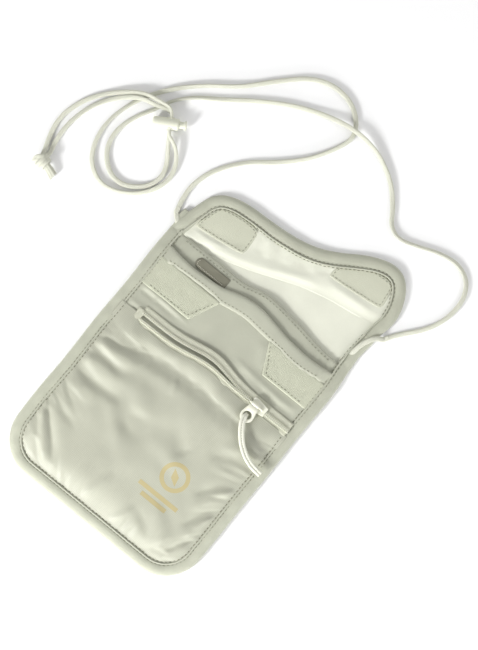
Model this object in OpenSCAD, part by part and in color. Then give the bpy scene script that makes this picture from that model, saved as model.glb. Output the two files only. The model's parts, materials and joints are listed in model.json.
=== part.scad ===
// Neck pouch wallet, lying on its back with the flap opened out flat.
// +X runs to the right as the front is seen, +Y runs up towards the flap and +Z leaves the front.
// The origin is the centre of the rear face. Sizes are in millimetres.

/* [Pouch] */
// Width over the binding
pouch_w = 136; // [132:1:142]
// Half the height from the bottom edge to the origin
pouch_half_h = 86; // [80:1:92]
// Radius of the two bottom corners
corner_r = 25; // [20:1:28]
// Width of the edge binding on the face
binding_w = 8; // [7:0.5:9]
// Thickness of the bound edge
binding_t = 4.9; // [4.8:0.1:5.2]
// Thickness of one layer of cloth
cloth_t = 0.4; // [0.3:0.05:0.45]
// Height of the filled front pocket above the rear face
pocket_h = 8.4; // [8:0.1:8.4]

/* [Zip] */
// Height of the zip line up the pouch
zip_y = 29.3; // [29:0.1:29.6]
// Left end of the zip
zip_left = -47; // [-49:0.5:-46]
// Centre of the slider as it rests, part open
slider_x = 38.5; // [36:0.5:40]
// How far the lower tape stands away while the zip is open
lip_gap = 3; // [2:0.1:3.2]

/* [Flap] */
// Height of the fold line up the pouch
fold_y = 89; // [88.5:0.5:90]
// Half the length of cloth that bends round the fold
fold_half = 5; // [4.5:0.5:5.5]
// Half the flap's width
flap_half_w = 67; // [64:0.5:67]

/* [Neck cord] */
// Half the width of the flat braid
cord_a = 1.3; // [1:0.05:1.3]
// Half the thickness of the flat braid
cord_b = 0.9; // [0.7:0.05:0.9]
// Steps along each stretch of cord between two of its bends
cord_steps = 4; // [3:1:5]

/* [Cord lock] */
// Outside diameter of the barrel
barrel_d = 7; // [7:0.1:7.4]
// Diameter of the barrel's bore
bore_d = 5; // [4.9:0.1:5]
// Radial clearance of the plunger in the bore
plunger_gap = 0.05; // [0.02:0.01:0.08]
// Travel of the plunger when it is pressed
press = 3; // [2.5:0.1:3]

/* [Hidden] */
$fn = 64;
half_w = pouch_w / 2;
gap = 0.05;
inner_w = half_w - binding_w;
// Cloth edges reach this far into the binding's slot
seam_in = 3;
slot_low = 0.7;
slot_high = 4.3;
// Underside of each layer, counted from the rear face
back_z = 0;
divider_z = 1.6;
lining_z = 3.1;
panel_z = 3.65;
tape_z = 4.15;
// Heights up the pouch where the front layers end
front_top = 24;
dome_top = 19.5;
upper_bottom = 33.4;
upper_top = 68;
layer_top = fold_y - 6;
// Coil rows on either side of the zip line
coil_in = 0.6;
coil_w = 1.3;
coil_z = tape_z + cloth_t + gap;
coil_t = 1.35;
tape_w = 3.6;
// Slider and pull
slider_l = 10.6;
plate_z = coil_z + coil_t + 0.1;
plate_t = 0.8;
bar_z = plate_z + plate_t + 1.25;
bar_r = 0.55;
knuckle_r = bar_r + 0.65;
tab_x = slider_x - 2.2;
tab_w = 3.4;
tab_t = 1.6;
eye_y = zip_y - 7.6;
eye_r = 1.85;
strap_z = bar_z + tab_t / 2 + 0.1;
// Flap layers
flap_bottom = fold_y + fold_half + 0.1;
flap_t = 2.6;
split_x = -14;
patch_gap = 0.3;
// Lock: crossing point of the cords, direction of the barrel and of the cords
lock_at = [-105.2, 125.4];
lock_turn = 31;
lock_z = barrel_d / 2 + 0.05;
along = [-sin(lock_turn), cos(lock_turn)];

cloth_col = "#dfe1cf";
binding_col = "#d7d9c9";
coil_col = "#cfd2c2";
plastic_col = "#ecebdf";
patch_col = "#cdd0be";
print_col = "#c8bd93";

// Point on a smooth curve through b and c, with a and d as the neighbours
function on_curve(a, b, c, d, t) = 0.5 * (2 * b + (c - a) * t + (2 * a - 5 * b + 4 * c - d) * t * t
    + (3 * b - a - 3 * c + d) * t * t * t);

// Smooth open curve through a list of points, with n steps between neighbours
function curve(pts, n) = let(last = len(pts) - 1) [
    for (i = [0 : last - 1]) for (k = [0 : n - 1])
        on_curve(pts[max(i - 1, 0)], pts[i], pts[i + 1], pts[min(i + 2, last)], k / n),
    pts[last]];

function unit(v) = v / norm(v);

// U-shaped outline of the pouch, drawn in by inset, from the bottom edge up to y = top
module pouch_outline(inset, top) {
    w = half_w - inset;
    bottom = -pouch_half_h + inset;
    r = max(corner_r - inset, 3);
    translate([-w, bottom + r]) square([2 * w, top - bottom - r]);
    translate([-w + r, bottom]) square([2 * (w - r), r + 1]);
    for (side = [-1, 1]) translate([side * (w - r), bottom + r]) circle(r);
}

// A flat sheet of the pouch's outline between two heights up the pouch
module pouch_sheet(z, t, inset, low, high) {
    translate([0, 0, z]) linear_extrude(t) intersection() {
        pouch_outline(inset, high);
        translate([-half_w, low]) square([2 * half_w, high - low]);
    }
}

module back_panel() {
    color(cloth_col) {
        pouch_sheet(back_z, 0.6, binding_w + gap, -pouch_half_h, layer_top - 1);
        translate([-inner_w + gap, layer_top - 1, back_z])
            cube([2 * (inner_w - gap), fold_y + fold_half - layer_top + 1, 0.6]);
    }
}

module divider_panel() {
    color(cloth_col) pouch_sheet(divider_z, cloth_t, binding_w - seam_in, -pouch_half_h, 78);
}

// The divider's folded top hem, a little wavy
module divider_hem() {
    top = curve([[-inner_w + 0.5, 78.5], [-20, 79.5], [4, 83], [30, 81.5], [inner_w - 0.5, 78.5]], 6);
    color(cloth_col) translate([0, 0, divider_z + cloth_t + gap]) linear_extrude(0.9)
        polygon(concat([[inner_w - 0.5, 70.8], [-inner_w + 0.5, 70.8]], top));
}

module divider_tab() {
    color(patch_col) translate([-43, 71.2, divider_z + cloth_t + 2 * gap + 0.9])
        cube([22, 5.6, 0.6]);
}

module pocket_lining() {
    color(cloth_col) pouch_sheet(lining_z, cloth_t, binding_w - seam_in, -pouch_half_h, 61);
}

module upper_panel() {
    color(cloth_col) pouch_sheet(panel_z, cloth_t, binding_w - seam_in, upper_bottom, upper_top);
}

// Folded hem over the mouth of the banknote pocket
module upper_hem() {
    x = inner_w - 0.5;
    top = curve([[-x, 69.5], [-38, 68.5], [-16, 71], [4, 74.5], [26, 71], [44, 69.6], [x, 71]], 5);
    low = curve([[x, 63.6], [40, 62.4], [22, 63.6], [2, 64.8], [-18, 62.8], [-x, 62.4]], 5);
    color(cloth_col) translate([0, 0, tape_z]) linear_extrude(1) polygon(concat(top, low));
}

// Fastener patch with one slanting inner end; it runs from the binding to x = reach
module fastener_patch(z, t, reach, low, high, slant) {
    side = reach > 0 ? 1 : -1;
    outer = side * (inner_w - 1);
    translate([0, 0, z]) linear_extrude(t)
        polygon([[outer, low], [reach + side * slant, low], [reach, high], [outer, high]]);
}

module loop_patch_left() {
    color(patch_col) fastener_patch(tape_z, 1.1, -17, 43.6, 62, 9);
}

module loop_patch_right() {
    color(patch_col) fastener_patch(tape_z, 1.1, 21, 43.6, 62, 9);
}

// Closed pillow on the pocket's outline, shrunk by inset all round
module pillow(inset, low, rise) {
    steps = 5;
    shoulder = 16;
    hull() for (i = [0 : steps]) {
        lean = i / steps;
        in = inset + shoulder * lean * lean;
        z = low + rise * (1 - pow(1 - lean, 2));
        r = max(17 - in, 4);
        for (side = [-1, 1]) {
            translate([side * (inner_w - in - r), -pouch_half_h + binding_w + in + r, z])
                cylinder(r = r, h = 0.1, $fn = 32);
            translate([side * (inner_w - in - 4), dome_top - in - 4, z])
                cylinder(r = 4, h = 0.1, $fn = 32);
        }
    }
}

// Bulging front of the zip pocket with its flat seam margin
module front_panel() {
    color(cloth_col) difference() {
        union() {
            pouch_sheet(panel_z, cloth_t, binding_w - seam_in, -pouch_half_h, front_top);
            pillow(0.15, panel_z, pocket_h - panel_z - 0.1);
        }
        translate([0, 0, -0.01]) pillow(0.75, panel_z - 0.5, pocket_h - panel_z - 0.2);
    }
}

// Tape folded over the edges of every layer
module edge_binding() {
    color(binding_col) difference() {
        linear_extrude(binding_t) difference() {
            pouch_outline(0, layer_top);
            pouch_outline(binding_w, layer_top + 1);
        }
        translate([0, 0, slot_low]) linear_extrude(slot_high - slot_low)
            pouch_outline(binding_w - seam_in - 0.3, layer_top + 1);
    }
}

// Raised seam ridge along the inner edge of the binding
module seam_ridge() {
    color(binding_col) translate([0, 0, binding_t + 0.02]) linear_extrude(0.5) difference() {
        pouch_outline(binding_w - 1.4, layer_top);
        pouch_outline(binding_w - 0.2, layer_top + 1);
    }
}

// A plain printed ring with a needle in it, above two bars
module front_emblem() {
    mark_z = pocket_h + 0.02;
    color(print_col) translate([26.5, -32.5, mark_z]) {
        linear_extrude(0.12) difference() {
            circle(9);
            circle(6.4);
        }
        rotate(35) linear_extrude(0.12)
            polygon([[0, 5.4], [2.3, 0], [0, -5.4], [-2.3, 0]]);
        for (bar = [[28, -15.6], [18, -20.2]])
            translate([-1 - bar[0] / 2, bar[1], 0]) cube([bar[0], 2.7, 0.12]);
    }
}

// One row of coil between two places along the zip; side is +1 above the line and -1 below it
module coil_row(side, x_from, x_to, drop) {
    y = zip_y + side * (coil_in + coil_w / 2) - coil_w / 2 - drop;
    translate([x_from, y, coil_z]) cube([x_to - x_from, coil_w, coil_t]);
}

// One length of tape beside the coil
module tape(side, x_from, x_to, drop) {
    y = side > 0 ? zip_y + coil_in : zip_y - coil_in - tape_w - coil_w;
    translate([x_from, y - drop, tape_z]) cube([x_to - x_from, tape_w + coil_w, cloth_t]);
}

module zip_upper_tape() {
    color(cloth_col) tape(1, zip_left, inner_w - 0.5, 0);
}

module zip_upper_coil() {
    color(coil_col) coil_row(1, zip_left, inner_w - 0.5, 0);
}

module zip_closed_tape() {
    color(cloth_col) tape(-1, slider_x - slider_l / 2 + 0.2, inner_w - 0.5, 0);
}

module zip_closed_coil() {
    color(coil_col) coil_row(-1, slider_x - slider_l / 2 + 0.2, inner_w - 0.5, 0);
}

module zip_lower_tape() {
    color(cloth_col) tape(-1, zip_left, slider_x - slider_l / 2, lip_gap);
}

module zip_lower_coil() {
    color(coil_col) coil_row(-1, zip_left, slider_x - slider_l / 2, lip_gap);
}

// Cloth folded over the zip's left end
module zip_end_patch() {
    color(cloth_col) translate([zip_left - 3.4, zip_y - 6.2, tape_z]) cube([3.2, 8.4, 2]);
}

// Slider: two plates joined by a post, a guard along the upper coil, and a bar for the pull
module zip_slider() {
    x0 = slider_x - slider_l / 2;
    low_z = panel_z;
    guard_y = zip_y + coil_in + coil_w + 0.1;
    color(plastic_col) {
        translate([x0, zip_y - 3.4, low_z]) cube([slider_l, 6.8, 0.42]);
        translate([x0, zip_y - 3.4, plate_z]) cube([slider_l, 6.8, plate_t]);
        translate([x0 + 0.6, zip_y - 0.5, low_z]) cube([1.6, 1, plate_z - low_z + 0.1]);
        translate([x0, guard_y, coil_z + gap]) cube([slider_l, 1, plate_z - coil_z]);
        for (x = [tab_x - tab_w / 2 - 1.1, tab_x + tab_w / 2 + 0.2])
            translate([x, zip_y - 0.9, plate_z]) cube([0.9, 1.8, bar_z - plate_z]);
        translate([tab_x - tab_w / 2 - 1.1, zip_y, bar_z]) rotate([0, 90, 0])
            cylinder(r = bar_r, h = tab_w + 2.2);
    }
}

// Pull tab: a knuckle round the bar, a neck, and an eye for the cord
module pull_tab() {
    color(plastic_col) difference() {
        union() {
            translate([tab_x - tab_w / 2, zip_y, bar_z]) rotate([0, 90, 0])
                cylinder(r = knuckle_r, h = tab_w);
            translate([tab_x - tab_w / 2, eye_y, bar_z - tab_t / 2])
                cube([tab_w, zip_y - eye_y, tab_t]);
            translate([tab_x, eye_y, bar_z - tab_t / 2]) cylinder(r = eye_r + 2.3, h = tab_t);
        }
        translate([tab_x - tab_w / 2 - 1, zip_y, bar_z]) rotate([0, 90, 0])
            cylinder(r = bar_r + gap, h = tab_w + 2);
        translate([tab_x, eye_y, bar_z - tab_t]) cylinder(r = eye_r, h = 2 * tab_t);
    }
}

// Pull cord: a turn through the eye and a length of braid that curves away to the side
module pull_cord() {
    bend_r = 41;
    sweep = 54;
    start = 212;
    from = [tab_x + 0.6, eye_y - 0.6];
    centre = from - bend_r * [cos(start), sin(start)];
    color(plastic_col) {
        translate([tab_x, eye_y, bar_z - tab_t / 2]) cylinder(r = eye_r - gap, h = tab_t + 0.6);
        translate([centre[0], centre[1], strap_z + 0.7]) rotate([0, 0, start - 7])
            rotate_extrude(angle = sweep) translate([bend_r, 0]) square([2.6, 1.4], center = true);
    }
}

// Edge of the opened flap: the right side rises to a rounded lobe and the left corner is gathered lower
right_edge = curve([[split_x, 118.6], [4, 121.4], [18, 128], [32, 137.2], [45, 142.6], [56, 141],
    [64, 132.5], [flap_half_w, 119], [flap_half_w, 106]], 5);
left_edge = curve([[-flap_half_w, 99], [-65, 107], [-59, 113.6], [-49, 117], [-34, 117.8],
    [split_x - 0.2, 118.4]], 5);

module flap_right_shape() {
    polygon(concat([[split_x, flap_bottom]], right_edge, [[flap_half_w, flap_bottom]]));
}

module flap_left_shape() {
    polygon(concat([[-flap_half_w, flap_bottom]], left_edge, [[split_x - 0.2, flap_bottom]]));
}

// A flap shape with a margin taken off its outer edges but not off its straight inner side
module flap_inner(inset, right_side) {
    intersection() {
        offset(delta = -inset) union() {
            if (right_side) {
                flap_right_shape();
                translate([split_x - 30, flap_bottom - 30]) square([31, 54.5]);
                translate([split_x - 30, flap_bottom - 30]) square([flap_half_w - split_x + 30, 31]);
            } else {
                flap_left_shape();
                translate([split_x - 2, flap_bottom - 30]) square([31, 54.3]);
                translate([-flap_half_w, flap_bottom - 30]) square([flap_half_w + 30, 31]);
            }
        }
        if (right_side) flap_right_shape();
        else flap_left_shape();
    }
}

module flap_sheet(z, t, right_side) {
    translate([0, 0, z]) linear_extrude(t) flap_inner(binding_w - 2, right_side);
}

module flap_rim(right_side) {
    difference() {
        linear_extrude(flap_t) difference() {
            if (right_side) flap_right_shape();
            else flap_left_shape();
            flap_inner(binding_w, right_side);
        }
        translate([0, 0, 0.15]) linear_extrude(1.4) flap_inner(binding_w - 2.2, right_side);
    }
}

module flap_outer() {
    color(cloth_col) flap_sheet(0.2, 0.6, true);
}

module flap_lining() {
    color(cloth_col) flap_sheet(0.85, 0.6, true);
}

module flap_binding() {
    color(binding_col) flap_rim(true);
}

module hook_patch_right() {
    color(patch_col) translate([0, 0, 1.5]) linear_extrude(1) intersection() {
        polygon([[56, 115], [25, 115], [22.5, 119.5], [30, 125.2], [42, 131], [50, 132], [56, 126]]);
        flap_inner(binding_w + patch_gap, true);
    }
}

module flap_corner_outer() {
    color(cloth_col) flap_sheet(0.2, 0.6, false);
}

module flap_corner_lining() {
    color(cloth_col) flap_sheet(0.85, 0.6, false);
}

module flap_corner_binding() {
    color(binding_col) flap_rim(false);
}

module hook_patch_left() {
    color(patch_col) translate([0, 0, 1.5]) linear_extrude(1) intersection() {
        polygon([[-57, 94.5], [-57, 100.5], [-51, 106.8], [-30, 108.8], [-20, 101], [-24, 94.5]]);
        flap_inner(binding_w + patch_gap, false);
    }
}

module cord_tab_left() {
    color(binding_col) translate([-half_w - 3.1, 74, 0.1]) cube([3, 13, 2.2]);
}

module cord_tab_right() {
    color(binding_col) translate([flap_half_w + 0.3, layer_top + 0.2, 0.1]) cube([3, 20, 2.2]);
    color(binding_col) translate([half_w + 0.1, layer_top - 8, 0.1]) cube([2.2, 9, 2.2]);
}

// Flat braid swept along a smooth path, as a closed solid with eight sides
module braid(path) {
    n = len(path);
    sides = 8;
    rings = [for (i = [0 : n - 1]) let(
        ahead = unit(path[min(i + 1, n - 1)] - path[max(i - 1, 0)]),
        across = unit(cross([0, 0, 1], ahead)),
        up = cross(ahead, across))
        for (k = [0 : sides - 1])
            path[i] + cord_a * cos(360 * k / sides) * across + cord_b * sin(360 * k / sides) * up];
    walls = [for (i = [0 : n - 2]) for (k = [0 : sides - 1]) let(
        a = i * sides + k, b = i * sides + (k + 1) % sides)
        each [[a, a + sides, b], [b, a + sides, b + sides]]];
    ends = [for (k = [1 : sides - 2])
        each [[0, k, k + 1], [(n - 1) * sides, (n - 1) * sides + k + 1, (n - 1) * sides + k]]];
    polyhedron(points = rings, faces = concat(walls, ends));
}

// Place on the line through the lock, v millimetres along the cords from their crossing
function lock_point(v, z) = [lock_at[0] + v * along[0], lock_at[1] + v * along[1], z];

flat = cord_b + 0.05;
upper_z = lock_z + cord_b + 0.02;
under_z = lock_z - cord_b - 0.02;
over_z = flat + 2.05;

// Bends of the left length: from its anchor round one coil, through the lock and down to the knot
left_route = concat([[-70.4, 88.6, flat], [-72.4, 97, flat], [-72.4, 108, flat], [-67.5, 121.5, flat],
    [-56.5, 136, flat], [-43, 147.2, flat], [-30.5, 160, flat], [-21.5, 174.5, flat],
    [-17.8, 186.5, flat], [-23, 196, flat], [-33.5, 202, flat], [-47, 202.4, flat],
    [-60, 196.5, flat], [-73, 184, flat], [-87, 169, flat], [-103, 156.5, flat],
    [-115, 145, flat], [-123.5, 134, flat], [-129.5, 123, flat], [-133.8, 110, flat],
    [-134.6, 98, flat], [-131.5, 86, flat], [-125, 77.5, flat], [-115, 73.2, flat],
    [-104.5, 75.4, flat], [-94.8, 82, flat], [-88, 91.6, flat], [-86, 101.5, flat],
    [-88.6, 110, flat + 0.8], [-93.8, 116, 3.2], [-98.6, 118.4, upper_z]],
    [for (v = [-6.5, -5, 0, 5, 6.2]) lock_point(v, upper_z)],
    [[-111.6, 132.6, upper_z], [-119, 131.6, 3.9], [-128, 129.6, over_z], [-137, 124, 2],
    [-145.5, 116, flat], [-152.5, 106, flat], [-157, 94, flat], [-157.6, 84, flat],
    [-155.8, 75.5, flat], [-153.2, 68.6, 1.6]]);

// Bends of the right length, which lies inside the left one round the coil
right_route = concat([[70.9, 106.6, flat], [76, 114, flat], [83, 122.2, flat], [88.8, 131.5, flat],
    [92, 143, flat], [91.4, 154, flat], [86, 163, flat], [76, 167, flat], [64, 165.4, flat],
    [52, 160.8, flat], [41, 157.6, flat], [32.6, 160.6, flat], [26, 169.5, flat],
    [16, 179.8, flat], [3, 187, flat + 0.4], [-8, 189.6, over_z - 0.3], [-18.4, 190, over_z + 0.2],
    [-30, 188.4, over_z - 0.6], [-45, 184, flat], [-60, 177, flat], [-75, 167.5, flat],
    [-90, 156.5, flat], [-103.6, 147, flat], [-112.5, 137.5, flat], [-118, 126.5, flat],
    [-124, 115.5, flat], [-127.2, 104, flat], [-126, 93.5, flat], [-120.4, 85.2, flat],
    [-112.5, 80.6, flat], [-104.5, 80.8, flat], [-97.4, 84.8, flat], [-92, 91, flat],
    [-90.2, 99, flat], [-92.8, 106.5, flat], [-97.2, 113, 1.8], [-99.4, 116.4, under_z]],
    [for (v = [-6.5, -5, 0, 5, 6.2]) lock_point(v, under_z)],
    [[-112, 131, under_z], [-119, 128.7, over_z], [-127.5, 126.6, over_z], [-135.5, 121.4, 2],
    [-142.5, 113.8, flat], [-147.8, 104.5, flat], [-151, 94, flat], [-152, 84, flat],
    [-151.2, 75, flat], [-149.4, 68.8, 1.6]]);

module neck_cord_left() {
    color(binding_col) braid(curve(left_route, cord_steps));
}

module neck_cord_right() {
    color(binding_col) braid(curve(right_route, cord_steps));
}

// Knot: three wraps side by side, a core, and two cut tails
module cord_knot() {
    at = [-149.6, 61.4, 4.3];
    wrap_r = 1.3;
    color(binding_col) {
        for (i = [-1 : 1]) translate([at[0] + 2.5 * i, at[1], at[2]]) rotate([0, 90, 0])
            rotate_extrude() translate([2.9, 0]) circle(wrap_r, $fn = 32);
        translate([at[0] - 3, at[1], at[2]]) rotate([0, 90, 0]) cylinder(r = 2.4, h = 6);
        for (side = [-1, 1]) translate([at[0] + 2, at[1] + 1.3 * side - 0.6, 2.2])
            rotate([0, 90, -4 * side]) cylinder(r = 1.2, h = 7.6);
    }
}

// Puts a shape built along +Z in line with the lock's barrel; z = 0 is where the cords cross
module on_lock_axis() {
    translate([lock_at[0], lock_at[1], lock_z]) rotate([0, 0, lock_turn]) rotate([0, 90, 0]) children();
}

barrel_back = -10.4;
barrel_end = 5;
wall = 1.2;
plunger_back = -4;
slot_w = 2 * cord_a + 0.4;
slot_h = 4 * cord_b + 0.3;

module lock_barrel() {
    color(plastic_col) on_lock_axis() difference() {
        translate([0, 0, barrel_back]) cylinder(d = barrel_d, h = barrel_end - barrel_back);
        translate([0, 0, barrel_back + wall]) cylinder(d = bore_d, h = barrel_end - barrel_back);
        translate([-slot_h / 2, -barrel_d, -slot_w / 2]) cube([slot_h, 2 * barrel_d, slot_w]);
    }
}

module lock_plunger() {
    shaft_r = bore_d / 2 - plunger_gap;
    head_z = barrel_end + press + 0.1;
    color(plastic_col) on_lock_axis() difference() {
        union() {
            translate([0, 0, plunger_back]) cylinder(r = shaft_r, h = head_z - plunger_back + 0.1);
            translate([0, 0, head_z]) cylinder(r = 2.6, h = 1.5);
        }
        translate([-slot_h / 2, -barrel_d, -slot_w / 2 - 0.1])
            cube([slot_h, 2 * barrel_d, slot_w + press + 0.2]);
    }
}

// Compression spring between the barrel's closed end and the plunger
module lock_spring() {
    turns = 5;
    per_turn = 16;
    sides = 5;
    wire = 0.25;
    coil_r = 1.9;
    low = barrel_back + wall + wire + gap;
    high = plunger_back - wire - gap;
    n = turns * per_turn;
    rings = [for (i = [0 : n]) let(turn = 360 * i / per_turn, z = low + (high - low) * i / n)
        for (k = [0 : sides - 1]) let(r = coil_r + wire * cos(360 * k / sides))
            [r * cos(turn), r * sin(turn), z + wire * sin(360 * k / sides)]];
    walls = [for (i = [0 : n - 1]) for (k = [0 : sides - 1]) let(
        a = i * sides + k, b = i * sides + (k + 1) % sides)
        each [[a, b, a + sides], [b, b + sides, a + sides]]];
    ends = [for (k = [1 : sides - 2])
        each [[0, k + 1, k], [n * sides, n * sides + k, n * sides + k + 1]]];
    color("silver") on_lock_axis() polyhedron(points = rings, faces = concat(walls, ends));
}

back_panel();
divider_panel();
divider_hem();
divider_tab();
pocket_lining();
upper_panel();
upper_hem();
loop_patch_left();
loop_patch_right();
front_panel();
edge_binding();
seam_ridge();
front_emblem();
zip_upper_tape();
zip_upper_coil();
zip_closed_tape();
zip_closed_coil();
zip_end_patch();
cord_tab_left();
cord_tab_right();
zip_lower_tape();
zip_lower_coil();
zip_slider();
pull_tab();
pull_cord();
flap_outer();
flap_lining();
flap_binding();
hook_patch_right();
flap_corner_outer();
flap_corner_lining();
flap_corner_binding();
hook_patch_left();
neck_cord_left();
neck_cord_right();
cord_knot();
lock_barrel();
lock_spring();
lock_plunger();
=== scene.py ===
"""Looks of the neck pouch wallet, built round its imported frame. Shapes are written in millimetres."""
import json
import math

import bmesh
import bpy
import numpy as np
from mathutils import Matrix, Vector
from mathutils.bvhtree import BVHTree


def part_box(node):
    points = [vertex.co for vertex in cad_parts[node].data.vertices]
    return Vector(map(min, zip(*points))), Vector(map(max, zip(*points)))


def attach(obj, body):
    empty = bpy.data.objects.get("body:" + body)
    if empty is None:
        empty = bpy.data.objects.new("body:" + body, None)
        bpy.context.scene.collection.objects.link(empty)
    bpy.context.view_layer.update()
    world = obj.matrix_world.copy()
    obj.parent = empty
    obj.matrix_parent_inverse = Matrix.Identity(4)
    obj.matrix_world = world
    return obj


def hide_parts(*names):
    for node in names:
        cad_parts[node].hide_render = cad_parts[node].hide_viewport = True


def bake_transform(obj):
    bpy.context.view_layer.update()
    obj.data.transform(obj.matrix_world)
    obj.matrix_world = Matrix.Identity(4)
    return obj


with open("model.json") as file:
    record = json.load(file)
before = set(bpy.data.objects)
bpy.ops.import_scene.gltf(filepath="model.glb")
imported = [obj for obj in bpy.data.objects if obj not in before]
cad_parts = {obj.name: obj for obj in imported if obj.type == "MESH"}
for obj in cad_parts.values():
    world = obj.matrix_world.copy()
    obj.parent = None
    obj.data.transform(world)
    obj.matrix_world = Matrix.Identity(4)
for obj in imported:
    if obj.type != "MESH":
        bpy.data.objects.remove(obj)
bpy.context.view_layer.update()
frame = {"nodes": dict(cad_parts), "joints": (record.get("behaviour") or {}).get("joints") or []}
MM = 0.001


def cad_box(node):
    """Lowest and highest corner of a CAD node, in millimetres."""
    low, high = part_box(node)
    return np.array(low) / MM, np.array(high) / MM


JOINT = {j["name"]: j for j in frame["joints"]}
BODY_LOW, BODY_HIGH = cad_box("edge_binding")
HALF_W = BODY_HIGH[0]
BOTTOM = BODY_LOW[1]
FOLD_Y = JOINT["flap_fold"]["pos_m"][1] / MM
TAB_X, ZIP_Y, BAR_Z = np.array(JOINT["pull_tab_lift"]["pos_m"]) / MM
EYE_Y = JOINT["pull_cord_swing"]["pos_m"][1] / MM
SLIDER_LOW, SLIDER_HIGH = cad_box("zip_slider")
SLIDER_X = (SLIDER_LOW[0] + SLIDER_HIGH[0]) / 2
PANEL_TOP = cad_box("front_panel")[1][2]
COIL_Z = np.mean(cad_box("zip_upper_coil"), axis=0)[2]
LIP_PER_SLIDE, SLIDE_RUN = 0.0375, 80
LIP_TRAVEL = LIP_PER_SLIDE * SLIDE_RUN
SEAM_X = HALF_W - 7.2
SEAM_Y = BOTTOM + 8.2
CORNER_R = 25


# ---------------------------------------------------------------- materials

class Value:
    """A number in a shader tree, which plain sums and products work on."""

    def __init__(self, tree, socket):
        self.tree = tree
        self.socket = socket

    def maths(self, operation, *others):
        n = self.tree.nodes.new("ShaderNodeMath")
        n.operation = operation
        for socket, value in zip(n.inputs, (self, *others)):
            if isinstance(value, Value):
                self.tree.links.new(value.socket, socket)
            else:
                socket.default_value = value
        return Value(self.tree, n.outputs[0])

    def __add__(self, other):
        return self.maths("ADD", other)

    def __mul__(self, other):
        return self.maths("MULTIPLY", other)

    def threads(self, pitch):
        """Rounded threads side by side: 0 in the gaps and 1 on the crowns."""
        return (self * (math.pi / pitch)).maths("SINE").maths("ABSOLUTE")


class Shader:
    """A new material, with the nodes that this scene's cloths and plastics share."""

    def __init__(self, name, colour, roughness, **inputs):
        self.mat = bpy.data.materials.new(name)
        self.mat.use_nodes = True
        self.tree = self.mat.node_tree
        self.colour = colour
        self.bsdf = self.tree.nodes["Principled BSDF"]
        self.place = None
        self.set(self.bsdf, Base_Color=(*colour, 1), Roughness=roughness, **inputs)

    def set(self, n, **inputs):
        """Sets a node's inputs, with _ for each space in their names."""
        for key, value in inputs.items():
            n.inputs[key.replace("_", " ")].default_value = value

    def join(self, value, socket):
        self.tree.links.new(value.socket, socket)

    def where(self):
        """Object coordinates in millimetres."""
        if self.place is None:
            coord = self.tree.nodes.new("ShaderNodeTexCoord")
            mapping = self.tree.nodes.new("ShaderNodeMapping")
            self.set(mapping, Scale=(1 / MM,) * 3)
            self.tree.links.new(coord.outputs["Object"], mapping.inputs["Vector"])
            self.place = mapping.outputs[0]
        return self.place

    def axes(self, vector=None):
        n = self.tree.nodes.new("ShaderNodeSeparateXYZ")
        self.tree.links.new(vector or self.where(), n.inputs[0])
        return Value(self.tree, n.outputs[0]), Value(self.tree, n.outputs[1])

    def noise(self, scale, detail=3, rough=0.5):
        n = self.tree.nodes.new("ShaderNodeTexNoise")
        self.set(n, Scale=scale, Detail=detail, Roughness=rough)
        self.tree.links.new(self.where(), n.inputs["Vector"])
        return Value(self.tree, n.outputs["Fac"])

    def tinted(self, factor):
        return (*(min(1.0, c * factor) for c in self.colour), 1)

    def shade(self, value, low, high, dark, light):
        """The colour made darker where a value is at low and lighter where it is at high."""
        n = self.tree.nodes.new("ShaderNodeValToRGB")
        for stop, at, factor in zip(n.color_ramp.elements, (low, high), (dark, light)):
            stop.position = at
            stop.color = self.tinted(factor)
        self.join(value, n.inputs[0])
        self.tree.links.new(n.outputs[0], self.bsdf.inputs["Base Color"])
        return n.outputs[0]

    def bump(self, height, distance):
        n = self.tree.nodes.new("ShaderNodeBump")
        self.set(n, Distance=distance * MM, Strength=1.0)
        self.join(height, n.inputs["Height"])
        self.tree.links.new(n.outputs[0], self.bsdf.inputs["Normal"])


def weave_material(name, colour, roughness, pitch, depth, sheen=0.2, mottle=0.05, specular=0.35):
    """Plain woven cloth with soft colour variation."""
    s = Shader(name, colour, roughness, Sheen_Weight=sheen, Sheen_Roughness=0.5, Specular_IOR_Level=specular)
    x, y = s.axes()
    s.shade(s.noise(0.06, 4) * 0.75 + s.noise(2.2, 2) * 0.25, 0.3, 0.7, 1 - mottle, 1 + mottle)
    s.bump(x.threads(pitch) * y.threads(pitch), depth)
    return s.mat


def ripstop_material(name, colour):
    """Thin coated ripstop: fine weave with a thicker thread every millimetre."""
    s = Shader(name, colour, 0.46, Specular_IOR_Level=0.5, Sheen_Weight=0.1, Coat_Weight=0.12,
               Coat_Roughness=0.35)
    x, y = s.axes()
    lines = [(v.threads(1.0) * -1 + 1).maths("POWER", 5.0).maths("SMOOTH_MIN", 1.0, 0.1) for v in (x, y)]
    grid = lines[0].maths("MAXIMUM", lines[1])
    mix = s.tree.nodes.new("ShaderNodeMix")
    mix.data_type = "RGBA"
    s.join(grid * 0.75, mix.inputs["Factor"])
    s.tree.links.new(s.shade(s.noise(0.05, 4), 0.3, 0.7, 0.93, 1.04), mix.inputs[6])
    mix.inputs[7].default_value = s.tinted(0.70)
    s.tree.links.new(mix.outputs[2], s.bsdf.inputs["Base Color"])
    s.bump(grid + x.threads(0.3) * y.threads(0.3) * 0.35, 0.06)
    return s.mat


def pile_material(name, colour, pitch, depth):
    """Knitted loop pile in short vertical rows."""
    s = Shader(name, colour, 0.95, Sheen_Weight=0.5, Specular_IOR_Level=0.15)
    x, y = s.axes()
    fuzz = s.noise(3.0, 4, 0.7)
    height = (x + fuzz * 0.5).threads(pitch) * (y + fuzz).threads(pitch * 0.7) * 0.6 + fuzz
    # Painted shade: the colour is darker in the gaps between loops, where the height is low.
    s.shade(height, 0.35, 1.2, 0.86, 1.06)
    s.bump(height, depth)
    return s.mat


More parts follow.
